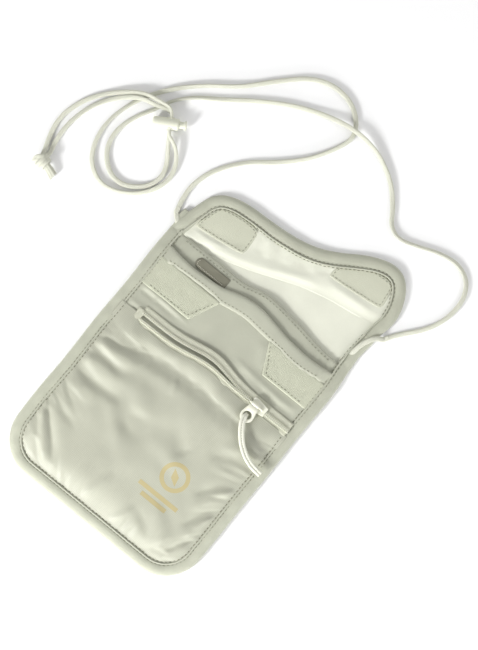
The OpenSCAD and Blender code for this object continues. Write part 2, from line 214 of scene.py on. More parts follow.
def brushed_material(name, colour):
    """Brushed binding tape with a short matt nap."""
    s = Shader(name, colour, 0.85, Sheen_Weight=0.45, Sheen_Roughness=0.4, Specular_IOR_Level=0.2)
    nap = s.noise(2.4, 5, 0.75)
    # Partly painted shade: the colour is darker where the nap is low. The broad noise adds random tone.
    s.shade(nap * 0.45 + s.noise(0.12) * 0.55, 0.3, 0.7, 0.9, 1.07)
    s.bump(nap, 0.22)
    return s.mat


def braid_material(name, colour):
    """Flat braid: slanting strands that meet in a herringbone along the middle."""
    s = Shader(name, colour, 0.7, Sheen_Weight=0.3, Specular_IOR_Level=0.25)
    coord = s.tree.nodes.new("ShaderNodeUVMap")
    coord.uv_map = "UVMap"
    along, around = s.axes(coord.outputs[0])
    strands = (along + around.maths("PINGPONG", 1.3) * 1.2).threads(0.62)
    height = strands + s.noise(6.0) * 0.4
    # Painted shade: the colour is darker in the grooves between strands, where the height is low.
    s.shade(height, 0.15, 1.1, 0.76, 1.05)
    s.bump(height, 0.16)
    return s.mat


def plastic_material(name, colour, roughness=0.38):
    """Moulded plastic with a faint uneven gloss."""
    s = Shader(name, colour, roughness, Subsurface_Weight=0.08, Subsurface_Radius=(0.002, 0.0018, 0.0014))
    fine = s.noise(5.0, 2)
    s.shade(s.noise(0.7), 0.3, 0.7, 0.97, 1.02)
    s.join(fine * 0.14 + (roughness - 0.06), s.bsdf.inputs["Roughness"])
    s.bump(fine, 0.02)
    return s.mat


def tape_material(name, colour):
    """Woven zip tape with fine lengthwise cords."""
    s = Shader(name, colour, 0.8)
    x, y = s.axes()
    height = (y + x.threads(0.5) * 0.12).threads(0.55) + s.noise(3.0) * 0.5
    # Painted shade: the colour is darker in the gaps between the tape's cords, where the height is low.
    s.shade(height, 0.2, 1.3, 0.85, 1.04)
    s.bump(height, 0.12)
    return s.mat


def steel_material(name):
    s = Shader(name, (0.6, 0.6, 0.6), 0.3, Metallic=1.0)
    s.bump(s.noise(8.0), 0.01)
    return s.mat


CLOTH = (0.445, 0.453, 0.363)
RIPSTOP = ripstop_material("ripstop_cloth", (0.475, 0.48, 0.384))
LINING = weave_material("lining_cloth", (0.73, 0.738, 0.625), 0.5, 0.35, 0.03, sheen=0.1, specular=0.4)
HEM = weave_material("hem_cloth", CLOTH, 0.55, 0.4, 0.04)
BRUSHED = brushed_material("brushed_binding", (0.47, 0.479, 0.385))
PILE = pile_material("loop_pile", (0.585, 0.60, 0.465), 0.9, 0.25)
HOOK = pile_material("hook_tape", (0.60, 0.61, 0.485), 0.7, 0.14)
# The divider tab's cloth: the pouch's pale cloth coloured dark as painted shade.
TAB_PAINTED_SHADE = weave_material("tab_cloth_painted_shade", (0.19, 0.185, 0.135), 0.5, 0.5, 0.08, specular=0.4)
TAPE = tape_material("zip_tape", (0.56, 0.565, 0.45))
COIL = plastic_material("coil_nylon", (0.72, 0.725, 0.60), 0.45)
PLASTIC = plastic_material("ivory_plastic", (0.78, 0.78, 0.66))
LOCK_PLASTIC = plastic_material("lock_plastic", (0.68, 0.69, 0.57), 0.42)
BRAID = braid_material("cord_braid", (0.73, 0.735, 0.615))
PULL_BRAID = weave_material("pull_cord_braid", (0.76, 0.76, 0.65), 0.65, 0.55, 0.12, sheen=0.3)
SOFT_THREAD = weave_material("soft_thread", (0.42, 0.42, 0.33), 0.8, 0.25, 0.05)
PALE = weave_material("pale_thread", (0.62, 0.61, 0.50), 0.8, 0.25, 0.05)
THREAD = weave_material("thread", (0.17, 0.17, 0.11), 0.8, 0.25, 0.05)
PRINT = weave_material("mark_print", (0.47, 0.405, 0.215), 0.6, 0.3, 0.02, mottle=0.03)
STEEL = steel_material("spring_steel")


# ---------------------------------------------------------------- shape helpers

def smooth_curve(points, steps=8):
    """Smooth open curve through the points."""
    p = np.array(points, float)
    p = np.vstack([2 * p[0] - p[1], p, 2 * p[-1] - p[-2]])
    out = []
    for a, b, c, d in zip(p, p[1:], p[2:], p[3:]):
        for t in np.arange(steps) / steps:
            out.append(0.5 * (2 * b + (c - a) * t + (2 * a - 5 * b + 4 * c - d) * t * t
                              + (3 * b - a - 3 * c + d) * t ** 3))
    return np.array(out + [p[-2]])


def arc_length(path):
    """Distance along a path at each of its points."""
    return np.concatenate([[0], np.cumsum(np.linalg.norm(np.diff(path, axis=0), axis=1))])


def resample(path, spacing):
    """The same path with points at an even spacing."""
    path = np.array(path, float)
    s = arc_length(path)
    at = np.linspace(0, s[-1], max(2, int(round(s[-1] / spacing)) + 1))
    return np.stack([np.interp(at, s, column) for column in path.T], axis=1)


def even_curve(points, spacing, steps=8):
    return resample(smooth_curve(points, steps), spacing)


def edge(points):
    """Function y(x) of a smooth edge through the points."""
    c = smooth_curve(points, 10)
    return lambda x: np.interp(x, c[:, 0], c[:, 1])


def ease(t):
    t = np.clip(t, 0, 1)
    return t * t * (3 - 2 * t)


def bell(distance, width):
    """Smooth bump of height 1, nearly gone at twice its width."""
    return np.exp(-(distance / width) ** 2)


def unit(v):
    return v / np.linalg.norm(v, axis=-1, keepdims=True)


def turns(count):
    """Angles evenly round a circle."""
    return np.linspace(0, 2 * math.pi, count, endpoint=False)


def ripple(x, y, size, seed):
    """Soft random relief between about -1 and 1, with bumps of the given size."""
    rng = np.random.default_rng(seed)
    total = 0
    for _ in range(7):
        a, phase = rng.uniform(0, 2 * math.pi, 2)
        k = 2 * math.pi / (size * rng.uniform(0.7, 1.6))
        total = total + np.sin(k * (x * math.cos(a) + y * math.sin(a)) + phase)
    return total / 4


def fold(x, y, points, width, height, fade):
    """Rounded ridge, or a valley if height is negative, along a curve; its ends fade out."""
    path = smooth_curve(points, 6)
    best = np.full(np.shape(x), 1e9)
    where = np.zeros(np.shape(x))
    s = np.linspace(0, 1, len(path))
    for i, (a, b) in enumerate(zip(path, path[1:])):
        d = b - a
        t = np.clip(((x - a[0]) * d[0] + (y - a[1]) * d[1]) / (d @ d), 0, 1)
        dist = np.hypot(x - a[0] - t * d[0], y - a[1] - t * d[1])
        where = np.where(dist < best, s[i] + t * (s[i + 1] - s[i]), where)
        best = np.minimum(best, dist)
    return height * bell(best, width) * ease(where / fade) * ease((1 - where) / fade)


def folds(x, y, rows):
    """Sum of folds, each given by its points, width, height and fade."""
    return sum(fold(x, y, *row) for row in rows)


def grid(x0, x1, cols, y0, y1, rows):
    return np.meshgrid(np.linspace(x0, x1, cols), np.linspace(y0, y1, rows))


def link(name, data):
    """New object in the scene."""
    obj = bpy.data.objects.new(name, data)
    bpy.context.scene.collection.objects.link(obj)
    return obj


def make_object(name, verts, faces, material, uvs=None):
    """Smooth mesh object from vertices in millimetres, its faces turned outwards."""
    mesh = bpy.data.meshes.new(name)
    mesh.from_pydata((np.array(verts, float) * MM).tolist(), [], [list(map(int, f)) for f in faces])
    if uvs is not None:
        layer = mesh.uv_layers.new(name="UVMap")
        index = np.zeros(len(mesh.loops), int)
        mesh.loops.foreach_get("vertex_index", index)
        layer.data.foreach_set("uv", np.array(uvs, np.float32)[index].ravel())
    mesh.validate()
    mesh.update()
    mesh.polygons.foreach_set("use_smooth", [True] * len(mesh.polygons))
    mesh.materials.append(material)
    bm = bmesh.new()
    bm.from_mesh(mesh)
    bmesh.ops.recalc_face_normals(bm, faces=bm.faces)
    bm.to_mesh(mesh)
    bm.free()
    return link(name, mesh)


def fit(obj, slot, follow, *nodes):
    """Hides the CAD nodes that a piece takes the place of; its slot is not used. It follows a body, or a
    function bakes its placing into its mesh.
    """
    if nodes:
        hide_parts(*nodes)
    if callable(follow):
        follow(obj)
    else:
        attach(obj, follow)


def grid_faces(rows, cols, first=0, flip=False, round_cols=False, round_rows=False):
    """Faces of a grid of vertices, which may close up round its columns and its rows."""
    faces = []
    for i in range(rows if round_rows else rows - 1):
        near, far = first + i * cols, first + (i + 1) % rows * cols
        for j in range(cols if round_cols else cols - 1):
            k = (j + 1) % cols
            sides = [near + k, far + k, far + j]
            faces.append((near + j, *(sides[::-1] if flip else sides)))
    return faces


def slab(name, planes, thickness, material, rim=0.5, under=None):
    """Closed sheet under a grid of points, given as planes of x, y and z, with a rounded rim."""
    top = np.stack(planes, axis=2)
    rows, cols = top.shape[:2]
    deep = np.broadcast_to(thickness, (rows, cols))
    low = top - deep[..., None] * [0, 0, 1]
    at = np.arange(rows * cols).reshape(rows, cols)
    border = np.concatenate([at[0], at[1:, -1], at[-1, -2::-1], at[-2:0:-1, 0]])
    pts = top.reshape(-1, 3)[border]
    half = deep.reshape(-1, 1)[border] / 2
    x, y = pts[:, 0], pts[:, 1]
    turn = np.sign(np.sum(x * np.roll(y, -1) - np.roll(x, -1) * y))
    tangent = np.roll(pts, -1, axis=0) - np.roll(pts, 1, axis=0)
    out = np.stack([tangent[:, 1], -tangent[:, 0], 0 * x], axis=1)
    out /= np.maximum(np.linalg.norm(out, axis=1), 1e-9)[:, None]
    ring = pts + out * rim * 2 * half * turn - half * [0, 0, 1]
    count, n = rows * cols, len(border)
    faces = grid_faces(rows, cols) + grid_faces(rows, cols, count, flip=True)
    for i, (a, b) in enumerate(zip(border, np.roll(border, -1))):
        ra, rb = 2 * count + i, 2 * count + (i + 1) % n
        faces += [(a, ra, rb, b), (ra, a + count, b + count, rb)]
    obj = make_object(name, np.concatenate([top.reshape(-1, 3), low.reshape(-1, 3), ring]), faces, material)
    if under:
        obj.data.materials.append(under)
        for face in obj.data.polygons:
            if face.normal.z < -0.3:
                face.material_index = 1
    return obj


def sweep(name, path, profile, material, scale=1.0, roll=0.0, across=None, closed=False):
    """Closed profile of (side, up) points along a path. Its side is level, or close to across."""
    path, profile = np.array(path, float), np.array(profile, float)
    n, m = len(path), len(profile)
    if closed:
        tangent = unit(np.roll(path, -1, axis=0) - np.roll(path, 1, axis=0))
    else:
        tangent = unit(np.gradient(path, axis=0))
    if across is None:
        side = unit(np.cross([0, 0, 1.0], tangent))
    else:
        side = unit(across - np.sum(across * tangent, axis=1)[:, None] * tangent)
    up = np.cross(tangent, side)
    r = np.broadcast_to(roll, n)[:, None]
    side, up = side * np.cos(r) + up * np.sin(r), up * np.cos(r) - side * np.sin(r)
    spread = profile * np.broadcast_to(scale, (n, 2))[:, None]
    verts = path[:, None] + spread[..., :1] * side[:, None] + spread[..., 1:] * up[:, None]
    along = np.arange(n) * 0.5 if closed else arc_length(path)
    uvs = np.stack(np.broadcast_arrays(along[:, None], arc_length(profile)), axis=2)
    faces = grid_faces(n, m, round_cols=True, round_rows=closed)
    if not closed:
        faces += [tuple(range(m)), tuple(range(n * m - 1, (n - 1) * m - 1, -1))]
    return make_object(name, verts.reshape(-1, 3), faces, material, uvs.reshape(-1, 2))


def oval(a, b, count=12, dent=0.0):
    """Oval profile; dent presses in the middle of its two flat faces."""
    x, y = a * np.cos(turns(count)), b * np.sin(turns(count))
    return np.stack([x, y * (1 - dent * bell(x, 0.35 * a))], axis=1)


def join(name, parts):
    """One object from several, which keeps each one's material."""
    bpy.ops.object.select_all(action="DESELECT")
    for p in parts:
        p.select_set(True)
    bpy.context.view_layer.objects.active = parts[0]
    bpy.ops.object.join()
    parts[0].name = parts[0].data.name = name
    return parts[0]


def stitch_row(name, path, follow, length, gap, radius, seed=1, material=THREAD, wiggle=0.12):
    """Row of separate thread stitches that lie along a path, their ends tapered and sunk."""
    fine, sides, rings = 0.25, 6, 5
    path = resample(path, fine)
    reach = int(round(length / fine))
    rng = np.random.default_rng(seed)
    verts, faces = [], []
    for start in range(0, len(path) - reach, int(round((length + gap) / fine))):
        a, b = path[start], path[start + reach]
        across = unit(np.cross([0, 0, 1.0], unit(b - a)))
        up = np.cross(unit(b - a), across)
        shift = across * rng.uniform(-wiggle, wiggle)
        base = len(verts)
        for t in np.linspace(0, 1, rings):
            taper = (2 * t - 1) ** 4
            r = radius * math.sqrt(1 - taper) + 0.02
            centre = a + (b - a) * t + shift - 0.14 * taper * up
            verts += [centre + r * (math.cos(k) * across + math.sin(k) * up) for k in turns(sides)]
        faces += grid_faces(rings, sides, base, round_cols=True)
        faces += [tuple(range(base + sides - 1, base - 1, -1)),
                  tuple(range(base + (rings - 1) * sides, base + rings * sides))]
    fit(make_object(name, verts, faces, material), None, follow)


def settle(top, held, grow, pressure, frames, cap):
    """Lets a grid of cloth points buckle and puff by cloth simulation; held points stay put."""
    size = 0.01
    mesh = bpy.data.meshes.new("settling")
    mesh.from_pydata((top.reshape(-1, 3) * size).tolist(), [], grid_faces(*top.shape[:2]))
    obj = link("settling", mesh)
    group = obj.vertex_groups.new(name="held")
    for i, weight in enumerate(held.reshape(-1)):
        if weight > 0:
            group.add([i], float(weight), "REPLACE")
    mod = obj.modifiers.new("cloth", "CLOTH")
    cloth = {"quality": 6, "mass": 0.2, "tension_stiffness": 12, "compression_stiffness": 12,
             "shear_stiffness": 4, "bending_stiffness": 0.02, "air_damping": 4, "vertex_group_mass": "held",
             "shrink_min": -grow, "use_pressure": True, "uniform_pressure_force": pressure}
    for key, value in cloth.items():
        setattr(mod.settings, key, value)
    mod.settings.effector_weights.gravity = 0
    mod.collision_settings.use_collision = False
    mod.point_cache.frame_start = 1
    mod.point_cache.frame_end = frames
    scene = bpy.context.scene
    for frame_number in range(1, frames + 1):
        scene.frame_set(frame_number)
    done = obj.evaluated_get(bpy.context.evaluated_depsgraph_get())
    moved = np.empty(top.size, np.float32)
    done.data.vertices.foreach_get("co", moved)
    shift = moved.reshape(top.shape) / size - top
    length = np.linalg.norm(shift, axis=2, keepdims=True)
    bpy.data.objects.remove(obj)
    scene.frame_set(1)
    return top + shift * cap * np.tanh(length / cap) / np.maximum(length, 1e-9)


def smoothed(field, passes):
    """Field with its fine detail spread out."""
    for _ in range(passes):
        padded = np.pad(field, 1, mode="edge")
        around = padded[:-2, 1:-1] + padded[2:, 1:-1] + padded[1:-1, :-2] + padded[1:-1, 2:]
        field = (around + 4 * field) / 8
    return field


# ---------------------------------------------------------------- the pouch's own surfaces

ARCH = 4.2
LIP_START, LIP_END = 34.0, -6.0
SEAM_Z = 3.3
FOLD_DEPTH = 1.9
TO_SEAM = 1.5


def tuck(x, z, low, reach=7.0):
    """Brings a layer's height down to the seam at its two sides."""
    return low + (z - low) * ease((SEAM_X + 1 - np.abs(x)) / reach)


def side_pucker(x, seed):
    """Small gathers of a hem close to the side seams."""
    inside = SEAM_X - np.abs(x)
    gathers = 0.38 * np.sin(1.15 * x + 1.6 * ripple(x, 0 * x, 17, seed))
    return gathers * np.exp(-np.clip(inside - 3, 0, None) / 9)


def zip_line(x):
    """The closed zip's path up the pouch: straight, with a soft arch in the middle."""
    return ZIP_Y + ARCH * bell(x - 1, 17)


def lip_line(x):
    """The open lower tape's coil at rest; the lip's travel fades out towards the slider."""
    return zip_line(x) - LIP_TRAVEL * ease((LIP_START - x) / (LIP_START - LIP_END))


def lip_height(x):
    return COIL_Z + 1.7 * bell(x + 2, 24)


def upper_height(x):
    return COIL_Z + 0.9 * bell(x + 2, 24)


def flat_height(x):
    return COIL_Z + 0 * x


def lip_blend(obj):
    """Bakes a piece's placing into its mesh."""
    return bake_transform(obj)


def u_path(inset, top_left, top_right, spacing=1.5):
    """Path down the left side, round the bottom and up the right side, inset from the outline."""
    w, r = HALF_W - inset, CORNER_R - inset
    low = BOTTOM + inset
    turn = np.radians(np.linspace(180, 270, 18))
    left = [(-w, top_left)] + [(-w + r + r * math.cos(a), low + r + r * math.sin(a)) for a in turn]
    right = [(-x, y) for x, y in left[1:]][::-1] + [(w, top_right)]
    return resample(left + right, spacing)


def waver(path, amount, size, seed):
    """Moves a path's points a little sideways, as sewn tape wanders."""
    out = path.copy()
    out[:, 0] += amount * ripple(path[:, 1], path[:, 0], size, seed)
    out[:, 1] += amount * ripple(path[:, 0], path[:, 1], size, seed + 1) * 0.6
    return out


BINDING_PROFILE = [(0.0, 1.5), (0.3, 2.6), (1.2, 3.6), (2.8, 4.2), (4.6, 4.35), (6.2, 4.1), (7.3, 3.6),
                   (8.0, 3.0), (8.1, 2.2), (7.4, 0.6), (6.0, 0.15), (3.0, 0.08), (1.0, 0.25), (0.2, 0.8)]


def edge_binding():
    """Soft tape round the sides and the bottom, lower towards its open ends."""
    path = waver(u_path(0.2, 82.5, 84), 0.22, 40, 3)
    x, y = path.T
    x += np.where(x < 0, 0.4, -1.3) * ease((y - 60) / 22)
    lift = 1 - 0.30 * ease((y - 62) / 18) + 0.035 * ripple(x, y, 11, 8)
    width = 1 + 0.02 * ripple(x, y, 16, 9)
    from_end = np.arange(len(path))
    close = np.clip(0.55 + 0.15 * np.minimum(from_end, from_end[::-1]), 0, 1)
    points = np.column_stack([path, 0 * x])
    obj = sweep("edge_tape", points, BINDING_PROFILE, BRUSHED, np.column_stack([width, lift * close]))
    fit(obj, "binding", "pouch", "edge_binding")


def seam_line(inset, z, top_left, top_right):
    x, y = waver(u_path(inset, top_left, top_right, 1.0), 0.25, 40, 3).T
    return np.column_stack([x - 1.1 * ease((y - 60) / 22) * (x > 0), y, z - ease((y - 62) / 18)])


def height_below(cloth, x, y):
    """Height of the front cloth at a place, or None beside it."""
    hit = cloth.ray_cast(Vector((x, y, 30)), Vector((0, 0, -1)))[0]
    return hit.z if hit else None


def seam(cloth):
    """Raised ridge along the binding's inner edge, with thread on both sides."""
    ridge = sweep("seam_ridge_tape", seam_line(7.4, 3.75, 82, 84), oval(0.62, 0.5, 10), HEM)
    fit(ridge, "binding", "pouch", "seam_ridge")
    row = seam_line(8.4, 3.85, 81, 83)
    for point in row:
        point[2] = max(point[2], (height_below(cloth, *point[:2]) or 0) + 0.05)
    stitch_row("seam_stitches", row, "pouch", 1.7, 0.9, 0.2)
    stitch_row("seam_stitches_outer", seam_line(6.5, 4.12, 81, 83), "pouch", 1.5, 1.1, 0.14, seed=5)


FRONT_FOLDS = [
    ([(-44, 6), (-26, 2), (-6, -4), (14, -12)], 9.0, -1.1, 0.4),
    ([(-42, -8), (-24, -16), (-6, -27), (8, -42)], 8.0, -1.3, 0.4),
    ([(-36, -20), (-20, -30), (-6, -42)], 5.0, 0.5, 0.4),
    ([(6, -4), (18, -16), (24, -20)], 5.0, -0.7, 0.4),
    ([(-30, 2), (-18, -10), (-12, -26)], 6.0, 0.6, 0.4),
    ([(-52, -20), (-40, -32), (-24, -46)], 7.0, 0.7, 0.4),
    ([(4, -22), (20, -26), (34, -22)], 5.0, 0.6, 0.4),
    ([(-61, 7), (-48, 6), (-30, 12), (-8, 15)], 4.0, -0.9, 0.3),
    ([(-61, 2), (-46, 1), (-28, 3)], 3.2, 0.7, 0.25),
    ([(-62, -3), (-48, -4), (-32, -7)], 3.0, -0.8, 0.3),
    ([(-62, -10), (-46, -10), (-24, -9)], 4.0, 0.7, 0.25),
    ([(-62, -18), (-44, -19), (-22, -18)], 3.2, -0.8, 0.3),
    ([(-62, -26), (-50, -27), (-34, -25)], 4.0, 0.55, 0.3),
    ([(-63, -43), (-54, -54), (-45, -65), (-36, -76)], 2.6, 0.9, 0.25),
    ([(-60, -42), (-48, -55), (-30, -72)], 3.0, -0.8, 0.3),
    ([(-63, -38), (-50, -43), (-34, -44)], 3.5, -0.5, 0.3),
    ([(-36, -34), (-16, -25), (2, -17), (16, -8)], 7.0, -1.0, 0.4),
    ([(-30, -10), (-8, -4), (16, 2), (34, 2)], 8.0, 0.7, 0.4),
    ([(-20, -48), (2, -42), (24, -30), (40, -14)], 9.0, 0.6, 0.4),
    ([(60, -8), (48, -22), (40, -36)], 3.0, -0.6, 0.3),
    ([(61, -14), (52, -26), (44, -44)], 2.8, 0.7, 0.3),
    ([(60, -26), (52, -40), (46, -54)], 2.6, -0.7, 0.3),
    ([(60, -33), (54, -46), (50, -62)], 2.4, 0.75, 0.3),
    ([(58, -52), (52, -62), (47, -71)], 2.0, -0.7, 0.3),
    ([(48, -72), (38, -60), (22, -48)], 4.0, 0.7, 0.35),
    ([(40, -75), (30, -65), (16, -58)], 3.0, -0.5, 0.35),
    ([(60, 12), (48, 6), (36, -4)], 3.4, 0.6, 0.3),
    ([(60, 4), (46, -4), (30, -10)], 3.6, -0.5, 0.3),
    ([(-12, -76), (-6, -66), (-2, -52)], 3.0, 0.45, 0.35),
    ([(12, -77), (16, -68), (20, -60)], 2.6, 0.4, 0.35),
    ([(-10, 14), (-7, 8), (-5, 2)], 1.6, 0.4, 0.35),
]


def front_height(x, y):
    """Height of the ripstop front over the zip pocket, with creases that pull from the seams."""
    side = np.minimum(SEAM_X - np.abs(x), 200)
    low = y - SEAM_Y
    corner = 18.0
    cx, cy = SEAM_X - corner, SEAM_Y + corner
    round_gap = corner - np.hypot(np.abs(x) - cx, y - cy)
    inside = np.where((np.abs(x) > cx) & (y < cy), round_gap, np.minimum(side, low))
    inside = np.clip(inside, 0, None)
    crown = 1 - np.exp(-inside / 9.0)
    h = SEAM_Z + 4.0 * crown + FOLD_DEPTH * folds(x, y, FRONT_FOLDS) * ease(inside / 5.0)
    least = SEAM_Z + 1.0 * crown
    h = least + np.logaddexp(0, 2.0 * (h - least)) / 2.0
    patchy = np.clip(0.5 + 0.8 * ripple(x, y, 30, 24), 0, 1.4)
    across = 0.26 * np.sin(x * 0.95 + 2.6 * ripple(x, 0 * y, 26, 21)) * np.exp(-np.clip(low, 0, None) / 5.0)
    along = 0.30 * np.sin(y * 0.8 + 2.8 * ripple(0 * x, y, 30, 22)) * np.exp(-np.clip(side, 0, None) / 7.0)
    return h + (across + along) * patchy * ease(inside / 1.5) + 0.10 * ripple(x, y, 14, 23)


BAND_LOW = edge([(-66, 15), (-50, 14.2), (-38, 14), (-24, 15.4), (-6, 17.6), (6, 17.8), (20, 16.4),
                 (36, 15.8), (66, 15.6)])


def rounded_floor(x, half, low, corner=17):
    """Lowest y at each x inside an outline with two rounded lower corners."""
    over = np.clip(np.abs(x) - (half - corner), 0, corner)
    return low + corner - np.sqrt(np.clip(corner ** 2 - over ** 2, 0, None))


def valley(x):
    """Depth of the dip below the zip's rolled band."""
    return (0.9 + 1.7 * bell(x + 4, 30)) * ease((SEAM_X - np.abs(x)) / 14)


def front_sheet():
    """Points of the front cloth, from the bottom seam up to the zip's lower edge, and the fold's row."""
    xs = np.linspace(-SEAM_X - TO_SEAM, SEAM_X + TO_SEAM, 116)
    x, v = np.meshgrid(xs, np.linspace(0, 1, 76))
    crease, start = BAND_LOW(x), SEAM_Y - TO_SEAM
    floor = rounded_floor(x, SEAM_X + TO_SEAM, start)
    y = floor + v * (crease - floor)
    z = front_height(x, y) - valley(x) * bell(y - crease + 3.6, 4.4)
    below = np.stack([x, y, z], axis=2)
    x, u = np.meshgrid(xs, np.linspace(0, 1, 22)[1:])
    crease = BAND_LOW(x)
    y = crease + u * (lip_line(x) - 2.7 + 4.8 * ease((-45.5 - x) / 3.5) - crease)
    base = front_height(x, crease) - valley(x) * bell(3.6, 4.4)
    z = base + (lip_height(x) - 0.25 - base) * ease(u * 1.25)
    z += 0.75 * np.sin(math.pi * u) + 0.22 * ripple(x, y, 12, 31)
    z = 4.1 + (z - 4.1) * (0.3 + 0.7 * ease((SEAM_X + 1 - np.abs(x)) / 9))
    return np.concatenate([below, np.stack([x, y, z], axis=2)]), len(below)


def front_panel():
    """Bulging ripstop front, whose rolled upper edge carries the zip's lower tape."""
    top, fold_row = front_sheet()
    rows, cols = top.shape[:2]
    i, j = np.meshgrid(np.arange(rows), np.arange(cols), indexing="ij")
    from_edge = np.minimum(np.minimum(i, j), cols - 1 - j)
    held = np.clip(1 - (from_edge - 1) / 3.0, 0, 1)
    held = np.maximum(held, np.clip((i - fold_row + 4) / 6, 0, 1))
    top = settle(top, held, grow=0.012, pressure=1.5, frames=22, cap=2.2)
    most = PANEL_TOP - 0.4
    top[..., 2] -= smoothed(np.clip(top[..., 2] - most + 0.9, 0, None), 60)
    top[..., 2] = most - np.logaddexp(0, 4.0 * (most - top[..., 2])) / 4.0
    obj = slab("front_ripstop", np.moveaxis(top, 2, 0), 0.5, RIPSTOP, rim=0.2)
    fit(obj, "ripstop", lip_blend, "front_panel")
    return BVHTree.FromPolygons([tuple(p) for p in top.reshape(-1, 3)], grid_faces(rows, cols))


def tape_strip(name, x0, x1, line, height, side, width):
    """Zip tape beside a coil; side +1 lies above the line and -1 below it."""
    x, v = grid(x0, x1, max(12, int((x1 - x0) / 1.2)), 0, 1, 6)
    y = line(x) + side * (0.4 + v * width)
    z = height(x) - 0.35 + 0.06 * ripple(x, y, 9, 37)
    return slab(name, (x, y, z), 0.45, TAPE, rim=0.4)


def coil(name, x0, x1, line, height, side, phase):
    """Nylon coil: one filament wound in flattened loops along the edge of its tape."""
    pitch, per_loop, wire = 1.15, 14, 0.27
    t = np.arange(int((x1 - x0) / pitch * per_loop)) / per_loop
    x = x0 + (t + phase) * pitch
    angle = 2 * math.pi * t
    y = line(x) + side * (0.55 - 0.95 * np.cos(angle) * 0.75)
    path = np.stack([x + 0.18 * pitch * np.sin(2 * angle), y, height(x) + 0.42 * np.sin(angle)], axis=1)
    return sweep(name, path, oval(wire, wire, 6), COIL)


def zip_fastener():
    """Tapes and coils: the upper row is whole, the lower row is open left of the slider."""
    left, right, gate = -48.5, 60.5, SLIDER_X - 3
    rows = [
        ("top", "upper", left, right, left + 0.5, right, zip_line, upper_height, 1, 4.6, 0.0, "pouch"),
        ("shut", "closed", gate, right, gate, right, zip_line, flat_height, -1, 3.2, 0.5, "pouch"),
        ("open", "lower", left, gate, left + 0.5, gate + 1, lip_line, lip_height, -1, 3.0, 0.5, lip_blend),
    ]
    for name, node, x0, x1, coil_x0, coil_x1, line, height, side, width, phase, follow in rows:
        tape = tape_strip("zip_tape_" + name, x0, x1, line, height, side, width)
        fit(tape, "tape", follow, f"zip_{node}_tape")
        wire = coil("zip_coil_" + name, coil_x0, coil_x1, line, height, side, phase)
        fit(wire, "coil", follow, f"zip_{node}_coil")


def zip_end():
    """Short cloth strap folded over the zip's left end."""
    x, y = grid(-51.4, -47.4, 9, ZIP_Y - 6.5, ZIP_Y + 1.9, 18)
    z = 5.7 - 0.06 * (x + 49.4) ** 2 + 0.12 * ripple(x, y, 4, 41)
    fit(slab("zip_end_strap", (x, y, z), 1.1, TAPE), "tape", "pouch", "zip_end_patch")


# ---------------------------------------------------------------- upper pouch

UPPER_HEM_TOP = edge([(-62, 70.4), (-50, 68.6), (-38, 68.2), (-22, 69.6), (-14, 72), (-4, 74.2), (6, 74.4),
                      (16, 72.6), (28, 70.6), (42, 69.6), (54, 70.2), (62, 71.4)])
UPPER_HEM_LOW = edge([(-62, 60.6), (-50, 62.2), (-34, 63.2), (-22, 63.2), (-17, 62.4), (-6, 64.3), (2, 64.8),
                      (14, 63.8), (26, 63.0), (36, 61.8), (44, 61.9), (54, 63.2), (62, 63.6)])
DIVIDER_TOP = edge([(-62, 79.6), (-40, 79.8), (-22, 79.6), (-12, 80.0), (0, 82.8), (10, 83.0), (26, 81.4),
                    (44, 78.6), (62, 77.4)])
UPPER_PLEATS = [
    ([(-61, 42.4), (-50, 42.6), (-36, 42.2), (-22, 41)], 1.5, 0.75, 0.25),
    ([(-61, 39.6), (-46, 39.8), (-30, 39.2)], 1.4, -0.45, 0.25),
    ([(-61, 31.4), (-52, 31.4), (-44, 32.4)], 1.6, 0.6, 0.3),
    ([(61, 41.2), (44, 40.4), (24, 41.6), (8, 43)], 2.2, 0.7, 0.3),
    ([(61, 37.6), (44, 37.4), (26, 38.4)], 1.8, -0.35, 0.3),
    ([(61, 33.6), (40, 33.7), (20, 33.6), (6, 36)], 0.8, -0.5, 0.12),
    ([(16, 62), (22, 54), (27, 47)], 3.0, 0.5, 0.3),
    ([(-20, 60), (-26, 53), (-30, 46)], 3.0, 0.4, 0.3),
]
HEM_END = 55


def upper_height_at(x, y):
    """Height of the upper front cloth, with its soft cross pleats."""
    h = 4.3 + 0.12 * ripple(x, y, 20, 51) + folds(x, y, UPPER_PLEATS)
    near_zip = 0.25 * ease((37 - y) / 5)
    return tuck(x, h * (1 - near_zip) + near_zip * upper_height(x), SEAM_Z, 5.0)


def between_seams(cols, rows, past=1.0):
    """Grid across the pouch, and from 0 to 1 up it."""
    return grid(-SEAM_X - past, SEAM_X + past, cols, 0, 1, rows)


def upper_panel():
    x, v = between_seams(100, 44)
    low = zip_line(x) + 2.6 - 4.5 * ease((-45.5 - x) / 3.5)
    y = low + v * (UPPER_HEM_LOW(x) + 2 - low)
    obj = slab("upper_cloth", (x, y, upper_height_at(x, y)), 0.6, HEM, rim=0.4)
    fit(obj, "cloth", "pouch", "upper_panel")
    t = np.linspace(-46, 60, 80)
    y = zip_line(t) + 4.3
    row = np.column_stack([t, y, upper_height_at(t, y) + 0.12])
    stitch_row("zip_stitches_top", row, "pouch", 1.5, 0.9, 0.14, seed=7)


def upper_hem():
    """Folded hem over the mouth of the banknote pocket, with stitches along its lower edge."""
    x, v = between_seams(110, 16)
    low, high = UPPER_HEM_LOW(x), UPPER_HEM_TOP(x)
    y = low + v * (high - low)
    z = 5.0 + 0.45 * (1 - (2 * v - 1) ** 4) + 0.14 * ripple(x, y, 15, 61)
    z = tuck(x, z + 0.5 * bell(x - 2, 22) * v + side_pucker(x, 62), SEAM_Z)
    fit(slab("upper_hem_fold", (x, y, z), 1.1, HEM, rim=0.55), "cloth", "pouch", "upper_hem")
    t = np.linspace(-HEM_END, HEM_END, 120)
    y = UPPER_HEM_LOW(t) + 1.5
    row = np.column_stack([t, y, 5.52 + 0.14 * ripple(t, y, 15, 61) + side_pucker(t, 62)])
    stitch_row("upper_hem_stitches", row, "pouch", 1.6, 0.8, 0.13, seed=11)


